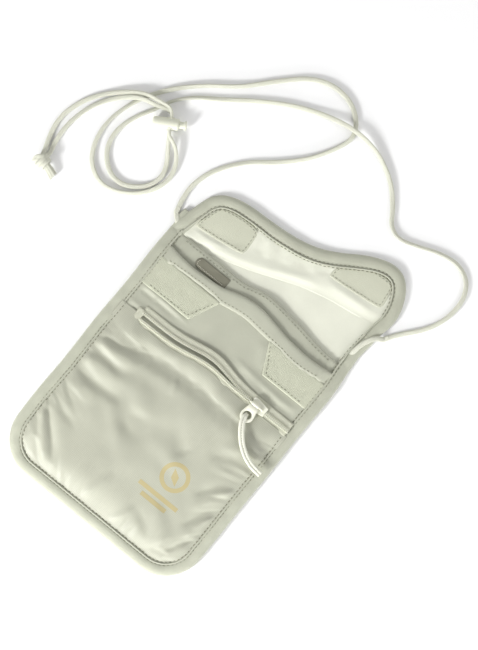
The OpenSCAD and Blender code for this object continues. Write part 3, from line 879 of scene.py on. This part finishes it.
def loop_patch(side, inner_high, inner_low, y0, y1):
    """Loop fastener patch whose inner end slants, with stitches round it."""
    place = "left" if side < 0 else "right"
    u, v = grid(0, 1, 46, 0, 1, 22)
    inner = inner_low + (inner_high - inner_low) * v
    x = inner + (side * 61.0 - inner) * u
    y = y0 + (y1 - y0) * v
    z = tuck(x, 5.05 + 0.10 * ripple(x, y, 9, 71), 3.7)
    name = "loop_pile_" + place
    fit(slab(name, (x, y, z), 0.8, PILE), "patch", "pouch", "loop_patch_" + place)
    inset = 1.3
    ring = [(side * 55, y0 + inset, 5.18), (inner_low + side * 1.6, y0 + inset, 5.18),
            (inner_high + side * 1.6, y1 - inset, 5.18)]
    stitch_row(name + "_stitches", resample(ring, 0.5), "pouch", 1.5, 0.9, 0.13, seed=13)


def divider():
    """Inner divider with its folded hem."""
    x, v = between_seams(100, 12)
    y = DIVIDER_TOP(x) - 11.5 + v * 11.5
    z = 2.9 + 0.3 * (1 - (2 * v - 1) ** 4) + 0.15 * ripple(x, y, 16, 81)
    z = tuck(x, z + 0.5 * bell(x - 6, 20) + side_pucker(x, 84), 2.0)
    fit(slab("divider_hem_fold", (x, y, z), 0.9, HEM), "cloth", "pouch", "divider_hem")
    t = np.linspace(-HEM_END, HEM_END, 110)
    row = np.column_stack([t, DIVIDER_TOP(t) - 1.7, 3.32 + 0.5 * bell(t - 6, 20) + side_pucker(t, 84)])
    stitch_row("divider_stitches", row, "pouch", 1.5, 0.9, 0.12, seed=15)
    x, v = between_seams(100, 30)
    y = 30 + v * (DIVIDER_TOP(x) - 34)
    z = tuck(x, 2.2 + 0.1 * ripple(x, y, 16, 82), 1.6)
    fit(slab("divider_cloth", (x, y, z), 0.5, HEM, rim=0.4), "cloth", "pouch", "divider_panel")


def divider_tab():
    """Cloth tab with a rounded left end and pale zigzag stitches along its lower edge; its dark colour is
    painted shade.
    """
    left, right, low, high = -43.0, -20.5, 70.2, 76.2
    half, middle = (high - low) / 2, (high + low) / 2
    u, y = grid(0, 1, 34, low, high, 16)
    start = left + half - np.sqrt(np.clip(half ** 2 - (0.96 * (y - middle)) ** 2, 0, None))
    x = start + u * (right - start)
    z = 3.6 + 0.25 * ease(np.minimum(u, 1 - u) * 15) + 0.10 * ripple(x, y, 5, 83)
    fit(slab("divider_tab_cloth", (x, y, z), 0.7, TAB_PAINTED_SHADE), "patch", "pouch", "divider_tab")
    corner = [(left + 1.6, middle + 1.6), (left + 0.9, middle), (left + 1.6, low + 1.5),
              (left + 3.2, low + 0.9)]
    along = [(left + 3.2 + 1.0 * i, low + (1.5 if i % 2 else 0.7)) for i in range(1, 19)]
    zig = [(*p, 3.98) for p in corner + along]
    stitch_row("tab_stitches", zig, "pouch", 0.9, 0.25, 0.15, seed=16, material=PALE)


def pocket_lining():
    """Lining cloth seen through the open zip and the note pocket."""
    half = SEAM_X + 1
    x, y = grid(-half, half, 60, SEAM_Y, 60, 70)
    y = np.maximum(y, rounded_floor(x, half, SEAM_Y))
    z = 3.2 + 0.12 * ripple(x, y, 22, 91)
    fit(slab("pocket_lining_cloth", (x, y, z), 0.4, LINING, rim=0.2), "cloth", "pouch", "pocket_lining")


def rear_panel():
    """Rear cloth of the pouch, a little uneven, up to where the flap's fold takes over."""
    half, low = SEAM_X + TO_SEAM, SEAM_Y - 1
    x, y = grid(-half, half, 90, low, 80, 110)
    y = np.maximum(y, rounded_floor(x, half, low))
    inside = np.clip(np.minimum(SEAM_X - np.abs(x), y - SEAM_Y), 0, None)
    gathers = 0.14 * np.sin(y * 0.9 + ripple(x, y, 20, 96)) * np.exp(-inside / 8)
    z = 1.05 + (0.22 * ripple(x, y, 26, 95) + gathers + 0.15) * ease(inside / 6) * ease((79 - y) / 8)
    fit(slab("rear_cloth", (x, y, z), 0.6, RIPSTOP, rim=0.2), "cloth", "pouch", "back_panel")


# ---------------------------------------------------------------- flap

CREASE = edge([(-70, 74), (-58, 75), (-44, 79), (-30, 83.5), (-14, 88.8), (0, 94.4), (14, 99.6), (30, 103.6),
               (46, 106.2), (60, 108.2), (70, 109)])
FLAP_RIM = smooth_curve([
    (-67.5, 79), (-66.7, 85), (-65.2, 92), (-63.2, 99), (-60.6, 106.2), (-55.6, 112.2), (-48, 115.9),
    (-38, 117.8), (-26, 118.4), (-12, 119.4), (0, 121.4), (10, 124.8), (20, 130.2), (30, 136.6), (40, 141.4),
    (49, 143.6), (57, 141.6), (63.4, 135.2), (67.6, 126.6), (69.2, 118), (68.6, 111), (67.4, 105),
    (66.6, 99.0)])
RIM_PROFILE = [(0.0, 1.1), (0.3, 1.9), (1.2, 2.7), (2.8, 3.1), (4.6, 3.1), (6.2, 2.8), (7.4, 2.3),
               (7.8, 1.7), (7.6, 1.0), (6.6, 0.3), (4.0, 0.05), (1.4, 0.1), (0.3, 0.45)]
FLAP_FOLDS = [
    ([(-56, 84), (-36, 86), (-12, 93), (6, 101), (26, 108)], 2.4, 0.6, 0.25),
    ([(62, 113), (44, 113), (24, 112), (10, 110)], 2.6, 0.45, 0.3),
    ([(-20, 112), (-15, 105), (-12, 99)], 2.0, 0.5, 0.3),
    ([(-24, 113), (-20, 104), (-18, 98)], 1.8, -0.35, 0.3),
    ([(22, 124), (21, 117), (23, 111)], 1.8, 0.45, 0.3),
    ([(-6, 117), (-4, 109), (-2, 103)], 3.0, 0.5, 0.3),
    ([(3, 119), (4, 113), (7, 107)], 1.6, -0.4, 0.3),
    ([(10, 121), (11, 115), (14, 109)], 1.9, 0.5, 0.3),
    ([(-13, 117), (-11, 111), (-9, 105)], 1.4, -0.4, 0.3),
    ([(-58, 79), (-48, 81), (-38, 85)], 1.6, -0.5, 0.3),
    ([(-58, 86), (-46, 87), (-30, 90)], 1.5, 0.4, 0.3),
]
PATCH_ROUND = 0.14


def flap_blend(obj):
    """Bakes a piece's placing into its mesh."""
    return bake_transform(obj)


def fold_blend(obj, reach=6.0):
    """Bakes a piece's placing into its mesh."""
    low, high = [(0, (FOLD_Y + shift) * MM, 0) for shift in (-reach, reach)]
    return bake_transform(obj)


def fold_cloth():
    """Flat cloth across the fold, from under the divider's hem to inside the flap."""
    x, v = grid(-60, 62.5, 80, 0, 1, 56)
    y = 77 + v * (28 + 6 * ease((x + 60) / 60))
    z = 1.15 + 0.1 * ripple(x, y, 24, 101) * ease((np.abs(y - FOLD_Y) - 4) / 6)
    fit(slab("fold_cloth", (x, y, z), z - 0.38, LINING, rim=0.3, under=RIPSTOP), "cloth", fold_blend)


def fold_binding(name, ys, outer):
    """Side binding across the fold beside the cloth; outer gives its edge's x at some heights."""
    path = np.column_stack([np.interp(ys, *zip(*outer)), ys, 0 * ys])
    fit(sweep(name, path, RIM_PROFILE, BRUSHED, 0.89), "binding", fold_blend)


def fold_seam():
    """Ridge and stitches that carry the pouch's right seam across the fold to the flap's."""
    line = smooth_curve([(59.4, 81.5, 2.9), (59.2, 88, 2.75), (59.6, 94, 2.6), (60.3, 101, 2.5)], 8)
    ridge = sweep("fold_ridge_right", resample(line, 1.0), oval(0.55, 0.45, 10), HEM)
    fit(ridge, "binding", fold_blend)
    stitch_row("fold_stitches_right", line - [1.0, 0, 0.25], fold_blend, 1.6, 1.0, 0.16, seed=20)


def flap_height(x, y):
    """Height of the opened flap's lining, with the roll along its diagonal crease."""
    up = y - CREASE(x)
    strong = 0.75 + 0.45 * ripple(x, 0 * y, 30, 110)
    roll_line = 0.3 * strong * bell(up - 6.0, 4.0) - 0.25 * bell(up - 12.5, 4.5)
    h = 2.0 + roll_line - 0.75 * (1 - ease(up / 7.5)) + 0.14 * ripple(x, y, 22, 111)
    return h + folds(x, y, FLAP_FOLDS)


def flap_cloth():
    """Outer and lining of the flap as one padded sheet, with more points near its two ends."""
    left, right = -62.6, 66.8
    t, v = grid(0, math.pi, 110, 0, 1, 60)
    x = left + (right - left) * (1 - np.cos(t)) / 2
    upper = FLAP_RIM[FLAP_RIM[:, 1] > 100]
    upper = upper[np.argsort(upper[:, 0])]
    low = CREASE(x)
    y = low + v * (np.interp(x, *upper.T) - 2.5 - low)
    z = flap_height(x, y)
    obj = slab("flap_cloth", (x, y, z), np.clip(z - 0.42, 0.5, 4), LINING, rim=0.3, under=RIPSTOP)
    fit(obj, "cloth", flap_blend, "flap_outer", "flap_lining", "flap_corner_outer", "flap_corner_lining")


def inner_line(points, inset, z):
    """Path that runs inside another one at a distance."""
    side = np.cross([0, 0, 1.0], unit(np.gradient(points, axis=0)))
    out = points + side * np.reshape(inset, (-1, 1))
    out[:, 2] = z
    return out


def flap_rim():
    """Binding round the flap, with its ridge and stitches."""
    path = waver(resample(FLAP_RIM, 1.4)[::-1], 0.2, 30, 121)
    x, y = path.T
    points = np.column_stack([path, 0 * x])
    right_end = np.clip(ease((y - 99) / 12) + (x < 0), 0, 1)
    wide = (1 + 0.14 * bell(x - 12, 40) + 0.02 * ripple(x, y, 14, 122)) * (0.86 + 0.14 * right_end)
    high = (1 + 0.05 * ripple(x, y, 12, 123)) * (0.88 + 0.12 * right_end) * (0.7 + 0.3 * ease((y - 77) / 8))
    obj = sweep("flap_edge_tape", points, RIM_PROFILE, BRUSHED, np.column_stack([wide, high]))
    fit(obj, "binding", flap_blend, "flap_binding", "flap_corner_binding")
    ridge = sweep("flap_ridge", inner_line(points, 7.5 * wide, 2.75), oval(0.5, 0.42, 10), HEM)
    fit(ridge, "binding", flap_blend)
    stitched = slice(12, -10)
    row = inner_line(points, 8.3 * wide, 2.75)[stitched]
    stitch_row("flap_stitches", row, flap_blend, 1.7, 0.9, 0.19, seed=18)
    row = inner_line(points, 6.5 * wide, 2.95)[stitched]
    stitch_row("flap_stitches_outer", row, flap_blend, 1.4, 1.1, 0.12, seed=19)


def flap_patch(place, corners, seed):
    """Hook patch on the flap's lining, with stitches round it. Corners run round from the outer low one."""
    a, b, c, d = np.array(corners, float)

    def spread(s, t):
        """Places given from -1 to 1 both ways, drawn in at the corners."""
        u = (s * np.sqrt(1 - PATCH_ROUND * t ** 4) + 1) / 2
        v = (t * np.sqrt(1 - PATCH_ROUND * s ** 4) + 1) / 2
        low, high = a + (b - a) * u[..., None], d + (c - d) * u[..., None]
        x, y = np.moveaxis(low + (high - low) * v[..., None], -1, 0)
        return x, y + 1.6 * np.sin(math.pi * u) * v

    x, y = spread(*grid(-1, 1, 44, -1, 1, 26))
    name = "hook_" + place
    obj = slab(name, (x, y, flap_height(x, y) + 0.32), 0.7, HOOK)
    fit(obj, "patch", flap_blend, "hook_patch_" + place)
    side, one = np.linspace(-1, 1, 30), np.ones(30)
    s, t = np.concatenate([-one, side, one, -side]), np.concatenate([-side, -one, side, one])
    x, y = spread(0.93 * s, 0.86 * t)
    x, y = resample(np.column_stack([x, y]), 0.5).T
    row = np.column_stack([x, y, flap_height(x, y) + 0.42])
    stitch_row(name + "_stitches", row, flap_blend, 1.5, 0.9, 0.13, seed=seed)


# ---------------------------------------------------------------- slider, tab and pull cord

def rounded_block(outline, z0, z1, bevel):
    """Plastic plate cut to an outline, with softened edges."""
    bm = bmesh.new()
    face = bm.faces.new([bm.verts.new((x * MM, y * MM, z0 * MM)) for x, y in outline])
    moved = bmesh.ops.extrude_face_region(bm, geom=[face])
    up = [g for g in moved["geom"] if isinstance(g, bmesh.types.BMVert)]
    bmesh.ops.translate(bm, verts=up, vec=(0, 0, (z1 - z0) * MM))
    bmesh.ops.recalc_face_normals(bm, faces=bm.faces)
    mesh = bpy.data.meshes.new("plate")
    bm.to_mesh(mesh)
    bm.free()
    mesh.polygons.foreach_set("use_smooth", [True] * len(mesh.polygons))
    mesh.materials.append(PLASTIC)
    obj = link("plate", mesh)
    mod = obj.modifiers.new("soft_edges", "BEVEL")
    mod.width = bevel * MM
    mod.segments = 3
    mod.limit_method = "ANGLE"
    mod.angle_limit = math.radians(35)
    obj.modifiers.new("even_shading", "WEIGHTED_NORMAL").keep_sharp = True
    return apply_modifiers(obj)


def apply_modifiers(obj):
    mesh = bpy.data.meshes.new_from_object(obj.evaluated_get(bpy.context.evaluated_depsgraph_get()))
    obj.modifiers.clear()
    obj.data = mesh
    return obj


def slider():
    """Zip slider: two waisted plates, side walls and a bridge for the tab."""
    x0, x1 = SLIDER_LOW[0], SLIDER_HIGH[0]
    half = 3.9
    side = [(x1, 0.72), (x1 - 2.2, 0.80), (x0 + 4.0, 0.98), (x0 + 0.9, 1), (x0, 0.6)]
    shape = [(x, -half * y) for x, y in side] + [(x0 + 0.9, 0)] + [(x, half * y) for x, y in side[::-1]]
    outline = smooth_curve(shape, 5) + [0, ZIP_Y]
    parts = [rounded_block(outline, COIL_Z + 0.77, COIL_Z + 1.56, 0.32),
             rounded_block(outline, COIL_Z - 1.6, COIL_Z - 1.05, 0.2)]
    back, front = x0 + 2.5, x1 - 0.4
    for sign in (-1, 1):
        wall = [(x, ZIP_Y + sign * y) for x, y in ((back, 3.75), (front, 2.75), (front, 2.1), (back, 3.1))]
        parts.append(rounded_block(wall, COIL_Z - 0.45, COIL_Z + 1.2, 0.15))
    foot = COIL_Z + 1.3
    arch = [(-3.6, foot), (-3.1, BAR_Z - 0.5), (-1.9, BAR_Z), (0, BAR_Z), (2.6, BAR_Z), (4.4, BAR_Z - 0.4),
            (5.2, foot)]
    path = smooth_curve([(TAB_X + x, ZIP_Y, z) for x, z in arch], 6)
    parts.append(sweep("bridge", path, oval(0.6, 0.5, 14), PLASTIC, across=np.array([0, 1.0, 0])))
    fit(join("slider_body", parts), "slider", "zip_slider", "zip_slider")


def ring_outline(x, y, rx, ry, count=48):
    return np.column_stack([x + rx * np.cos(turns(count)), y + ry * np.sin(turns(count))])


def pull_tab():
    """Moulded tab: a loop round the bridge, a neck that narrows, and an eye."""
    z0, z1 = BAR_Z - 0.85, BAR_Z + 0.85
    outer = ring_outline(TAB_X, EYE_Y, 4.2, 4.5)
    hole = ring_outline(TAB_X, EYE_Y + 0.2, 2.6, 2.4)
    away = (np.degrees(turns(len(outer))) - 90) / 74.5
    neck = np.abs(away) < 1
    climb = ease((1 - np.abs(away)) / 0.62)
    half = (4.05 - 1.25 * climb) * np.clip(np.abs(away) / 0.38, 0, 1)
    outer[neck] = np.column_stack([TAB_X - np.sign(away) * half, EYE_Y + 1.2 + 5.4 * climb])[neck]
    verts = []
    rings = [(outer, z0, -0.4), (outer, z0 + 0.35, 0), (outer, z1 - 0.35, 0), (outer, z1, -0.4),
             (hole, z1, 0.352), (hole, z1 - 0.4, 0), (hole, z0 + 0.4, 0), (hole, z0, 0.352)]
    for shape, z, grow in rings:
        around = shape + grow * unit(shape - [TAB_X, EYE_Y + 0.2])
        verts += [(x, y, z) for x, y in around]
    faces = grid_faces(len(rings), len(outer), round_cols=True, round_rows=True)
    ring = make_object("tab_ring", verts, faces, PLASTIC)
    t = np.radians(np.linspace(-40, 220, 22))
    loop = np.column_stack([TAB_X + 0 * t, ZIP_Y + 0.92 * np.cos(t), BAR_Z + 0.92 * np.sin(t)])
    knuckle = sweep("tab_loop", loop, oval(2.5, 0.26, 14), PLASTIC, across=np.array([1.0, 0, 0]))
    fit(join("pull_tab_body", [ring, knuckle]), "slider", "pull_tab", "pull_tab")


def pull_cord():
    """Doubled braid through the tab's eye, stitched down its middle."""
    top = cad_box("pull_cord")[1][2] - 0.5 - BAR_Z
    run = [(-0.6, 0.6, -0.8), (-0.7, -1.0, 0.9), (-0.3, -3.4, 1.3), (0.9, -6.0, top - 0.4),
           (4.0, -10.4, top - 0.4), (8.6, -15.0, top - 0.6), (14.4, -18.8, top - 0.8),
           (20.6, -21.0, top - 1.0), (27.4, -21.8, top - 1.1)]
    path = even_curve(np.array(run) + [TAB_X, EYE_Y, BAR_Z], 0.6)
    grow = 0.75 + 0.25 * ease(np.arange(len(path)) / 14)
    strands = []
    for beside in (-0.82, 0.82):
        line = inner_line(path, beside, path[:, 2])
        strands.append(sweep("strand", line, oval(1.0, 0.75), PULL_BRAID, grow[:, None]))
    fit(join("pull_cord_braid", strands), "cord", "pull_cord", "pull_cord")
    thread = path[8:-4] + [0, 0, 0.62]
    stitch_row("pull_cord_stitches", thread, "pull_cord", 0.8, 0.6, 0.12, seed=25, material=SOFT_THREAD,
               wiggle=0.05)


# ---------------------------------------------------------------- neck cord, knot and lock

CORD_A, CORD_B = 1.45, 0.95
CORD_SIDES = 8


def cord_path(name, start):
    """Ring centres of a swept CAD cord, found in its mesh by walking ring by ring from near start."""
    mesh = frame["nodes"][name].data
    co = np.array([v.co for v in mesh.vertices]) / MM
    keys, index, merged = {}, np.zeros(len(co), int), []
    for i, p in enumerate(co):
        key = tuple(np.round(p, 3))
        if key not in keys:
            keys[key] = len(merged)
            merged.append(p)
        index[i] = keys[key]
    merged = np.array(merged)
    near = [set() for _ in merged]
    for e in mesh.edges:
        a, b = index[list(e.vertices)]
        if a != b:
            near[a].add(b)
            near[b].add(a)
    order = np.argsort(np.linalg.norm(merged - start, axis=1))
    ring = set(int(i) for i in order[:CORD_SIDES])
    seen, centres = set(), []
    while ring:
        centres.append(merged[list(ring)].mean(0))
        seen |= ring
        ring = set().union(*(near[i] for i in ring)) - seen
    return np.array(centres)


def neck_cord(side, start, into_knot, seed):
    name = "neck_cord_" + side
    spacing = 0.8
    path = resample(np.vstack([cord_path(name, start), into_knot]), spacing)
    for column in path.T:
        padded = np.concatenate([[column[0]] * 2, column, [column[-1]] * 2])
        column[:] = np.convolve(padded, np.ones(5) / 5, mode="valid")
    along = np.arange(len(path)) * spacing
    rng = np.random.default_rng(seed)
    twist = sum(np.sin(along / rng.uniform(14, 45) + rng.uniform(0, 6)) for _ in range(3)) * 0.42
    twist *= ease(along / 8) * ease((along[-1] - along) / 25)
    obj = sweep(name + "_braid", path, oval(CORD_A, CORD_B, 14, dent=0.2), BRAID, roll=twist)
    fit(obj, "cord", "neck_cord", name)
    return path


def cord_end(name, points, cord, *nodes):
    """Sewn end of the neck cord, which runs on into the cord along its own direction."""
    ahead = unit(cord[4] - cord[0])
    path = even_curve(points + [cord[0] + ahead * far for far in (-1.6, 0.4, 2.2)], 0.6)
    thick = 1.03
    obj = sweep(name, path, oval(CORD_A * thick, CORD_B * thick, 14, dent=0.2), BRAID)
    fit(obj, "cord", "pouch", *nodes)


def cord_tab():
    """Tape that holds the left end of the cord."""
    low = 84.5
    x, y = grid(-68.3, -64.6, 10, low, 92.2, 16)
    x = x + 0.12 * (y - low)
    z = 2.1 - 0.12 * (x + 66.2) ** 2 + 0.1 * ripple(x, y, 5, 131)
    fit(slab("cord_tab_left_tape", (x, y, z), 1.3, HEM, rim=0.4), "binding", "pouch", "cord_tab_left")


def knot():
    """Overhand knot of both cords: a ball of wraps, a turn that crosses it and a bundle of cut tails."""
    low, high = cad_box("cord_knot")
    centre = np.array([low[0] + 4.2, (low[1] + high[1]) / 2, 4.1])
    parts = []
    t = turns(47)
    for step, wide, tall, lean in ((-2.9, 2.9, 2.5, 0.9), (-0.5, 4.0, 3.1, 0.5), (2.0, 3.4, 2.9, 0.2)):
        path = centre + np.column_stack([step + lean * np.sin(t + 0.9), wide * np.cos(t), tall * np.sin(t)])
        parts.append(sweep("wrap", path, oval(1.45, 0.9, dent=0.2), BRAID, across=np.array([1.0, 0, 0]),
                           closed=True))
    over = [(-3.6, -3.2, -1.4), (-4.4, -1.6, 1.0), (-3.4, 0.6, 2.7), (-1.2, 2.6, 2.6), (0.9, 3.9, 0.2)]
    parts.append(sweep("over", even_curve(centre + over, 0.5), oval(1.3, 0.8, dent=0.2), BRAID))
    for k, rise in ((-1.5, 0.0), (-0.5, 0.9), (0.5, 1.0), (1.5, 0.1)):
        tail = [(0.6, 0.6 * k, rise), (3.6, -0.5 + 0.85 * k, -0.4 + rise),
                (6.6, -1.5 + 1.15 * k, -1.3 + rise), (10.2, -2.9 + 1.35 * k, -2.2 + rise)]
        parts.append(sweep("tail", even_curve(centre + tail, 0.5, 6), oval(0.92, 0.75, dent=0.15), BRAID))
    fit(join("cord_knot_wraps", parts), "cord", "neck_cord", "cord_knot")


def cord_lock():
    """Barrel, plunger and cross hole rims of the sprung lock."""
    axis = -np.array(JOINT["plunger_press"]["axis"], float)
    crossing = np.mean(cad_box("lock_barrel"), axis=0) + axis * 2.7
    across, up = np.array([-axis[1], axis[0], 0]), np.array([0, 0, 1.0])

    def lathe(name, stations, sides=40):
        verts = [crossing + axis * u + r * (math.cos(a) * across + math.sin(a) * up)
                 for u, r in stations for a in turns(sides)]
        faces = grid_faces(len(stations), sides, round_cols=True)
        faces += [tuple(range(sides)), tuple(range(len(verts) - 1, len(verts) - sides - 1, -1))]
        return make_object(name, verts, faces, LOCK_PLASTIC)

    radius = 3.5
    body = [(-10.3, 0.3), (-10.3, 2.4), (-10.1, 2.95), (-9.6, 3.3), (-8.8, 3.45), (-6, radius), (0, radius),
            (3.6, radius), (4.4, 3.45), (4.9, 3.2), (5.0, 2.9), (4.9, 2.55), (4.0, 2.5), (-9.2, 2.5)]
    parts = [lathe("lock_barrel_shell", body)]
    a = turns(28)[:, None]
    rim = crossing + axis * 2.05 * np.cos(a) + up * 2.1 * np.sin(a)
    depth = np.sqrt(radius ** 2 - (2.1 * np.sin(a)) ** 2) + 0.05
    for sign in (-1, 1):
        path = rim + across * sign * depth
        parts.append(sweep("mouth", path, oval(0.42, 0.42, 10), LOCK_PLASTIC, across=path - path.mean(0),
                           closed=True))
    fit(join("lock_barrel_shell", parts), "lock", "cord_lock", "lock_barrel")
    rod = [(-1.0, 0.3), (-1.0, 2.3), (4.6, 2.35), (6.4, 2.1), (7.6, 1.95), (8.0, 2.2), (8.3, 2.6),
           (8.8, 2.75), (9.3, 2.65), (9.6, 2.2), (9.65, 1.2), (9.65, 0.2)]
    fit(lathe("lock_plunger_rod", rod), "lock", "lock_plunger", "lock_plunger")
    spring = frame["nodes"]["lock_spring"].data.materials
    spring.clear()
    spring.append(STEEL)


# ---------------------------------------------------------------- printed mark

def emblem(cloth):
    """Plain printed ring with a needle, above two bars, lying on the ripstop."""
    cx, cy = 26.5, -32.5
    verts, faces = [], []

    def patch(x, y):
        base = len(verts)
        for px, py in zip((cx + x).ravel(), (cy + y).ravel()):
            verts.append((px, py, height_below(cloth, px, py) + 0.03))
        faces.extend(grid_faces(*x.shape, base))

    turn = np.linspace(0, 2 * math.pi, 73)
    radius = np.array([6.4, 7.2, 8.1, 9.0])
    patch(np.outer(radius, np.cos(turn)), np.outer(radius, np.sin(turn)))
    cos, sin = math.cos(math.radians(35)), math.sin(math.radians(35))
    s, u = grid(0, 1, 14, -1, 1, 5)
    for half in (-1, 1):
        x, y = 2.3 * s * u, half * 5.4 * (1 - s)
        patch(x * cos - y * sin, x * sin + y * cos)
    for width, drop in ((28, 15.6), (18, 20.2)):
        x, y = grid(-width / 2, width / 2, 36, 0, 2.7, 5)
        patch(x - 1, y - drop)
    obj = make_object("front_mark", verts, faces, PRINT)
    obj.modifiers.new("ink", "SOLIDIFY").thickness = 0.04 * MM
    apply_modifiers(obj)
    obj.data.set_sharp_from_angle(angle=math.radians(40))
    fit(obj, "print", lip_blend, "front_emblem")


# ---------------------------------------------------------------- room, light and camera

def stage():
    """Pale floor just under the pouch."""
    size, z = 3000, -0.4
    paper = Shader("floor_paper", (0.96, 0.96, 0.96), 0.9, Specular_IOR_Level=0.1).mat
    corners = [(-size, -size, z), (size, -size, z), (size, size, z), (-size, size, z)]
    make_object("floor", corners, [(0, 1, 2, 3)], paper)


def area_light(name, place, aim, size, power):
    data = bpy.data.lights.new(name, "AREA")
    data.shape = "DISK"
    data.size = size
    data.energy = power
    lamp = link(name, data)
    lamp.location = place
    lamp.rotation_euler = (Vector(aim) - Vector(place)).to_track_quat("-Z", "Y").to_euler()


def lights():
    """White room, brighter near the horizon than overhead, with a key, a fill and a low light."""
    scene = bpy.context.scene
    scene.view_settings.view_transform = "Standard"
    world = bpy.data.worlds.new("studio")
    scene.world = world
    world.use_nodes = True
    tree = world.node_tree
    coord = tree.nodes.new("ShaderNodeTexCoord")
    parts = tree.nodes.new("ShaderNodeSeparateXYZ")
    level = tree.nodes.new("ShaderNodeMapRange")
    at_horizon, overhead = 1.25, 0.2
    for key, value in (("From Min", 0.0), ("From Max", 1.0), ("To Min", at_horizon), ("To Max", overhead)):
        level.inputs[key].default_value = value
    background = tree.nodes["Background"]
    background.inputs["Color"].default_value = (1, 1, 1, 1)
    tree.links.new(coord.outputs["Generated"], parts.inputs[0])
    tree.links.new(parts.outputs["Z"], level.inputs["Value"])
    tree.links.new(level.outputs["Result"], background.inputs["Strength"])
    aim = (0, 0.05, 0)
    area_light("key", (-0.26, -0.82, 0.5), aim, 0.26, 10.4)
    area_light("fill", (0.7, 0.7, 0.8), aim, 0.8, 3.2)
    area_light("low", (0.56, -0.8, 0.24), aim, 0.3, 5.2)


def camera():
    """Long lens that looks down almost straight, turned so that the pouch lies slanting."""
    data = bpy.data.cameras.new("camera")
    data.lens = 90
    data.sensor_width = 36
    data.clip_start = 0.05
    data.clip_end = 20
    cam = link("camera", data)
    azimuth, elevation = math.radians(39), math.radians(88.5)
    aim = Vector((-0.3, 59.4, 3)) * MM
    tall = 378 * MM
    distance = tall * data.lens / data.sensor_width
    flat = math.cos(elevation)
    back = Vector((math.sin(azimuth) * flat, -math.cos(azimuth) * flat, math.sin(elevation)))
    cam.location = aim + back * distance
    cam.rotation_euler = (-back).to_track_quat("-Z", "Y").to_euler()
    bpy.context.scene.camera = cam


edge_binding()
rear_panel()
pocket_lining()
divider()
divider_tab()
upper_panel()
upper_hem()
loop_patch(-1, -17, -25.5, 43.6, 62.4)
loop_patch(1, 19.5, 28.5, 45.6, 63.4)
front = front_panel()
seam(front)
zip_fastener()
zip_end()
fold_cloth()
fold_binding("fold_edge_right", np.linspace(78, 105, 30),
             [(78, 66.4), (88, 65.9), (97, 66.8), (100, 67.05), (105, 66.9)])
fold_binding("fold_edge_left", np.linspace(103, 76, 30), [(76, -65.4), (92, -63.6), (103, -61.6)])
fold_seam()
flap_cloth()
flap_rim()
flap_patch("right", [(58.2, 118.4), (21.6, 114.4), (25.4, 129.4), (55.4, 134.6)], 21)
flap_patch("left", [(-57.5, 88), (-24, 92.6), (-25.5, 109.2), (-51.5, 106.2)], 22)
slider()
pull_tab()
pull_cord()
left_cord = neck_cord("left", (-70.4, 88.6, 1), [(-151.6, 64.5, 3.2)], 141)
right_cord = neck_cord("right", (70.9, 106.6, 1), [(-149.4, 64.6, 3.4)], 142)
cord_end("cord_end_right", [(61.0, 85.6, 1.2), (61.3, 90.2, 2.9), (62.3, 95.4, 3.9), (64.4, 100.4, 4.1),
                            (66.6, 103.4, 3.5)], right_cord, "cord_tab_right")
cord_end("cord_end_left", [(-64.6, 81.4, 1.2), (-66.8, 84.4, 1.6)], left_cord)
cord_tab()
knot()
cord_lock()
emblem(front)
stage()
lights()
camera()
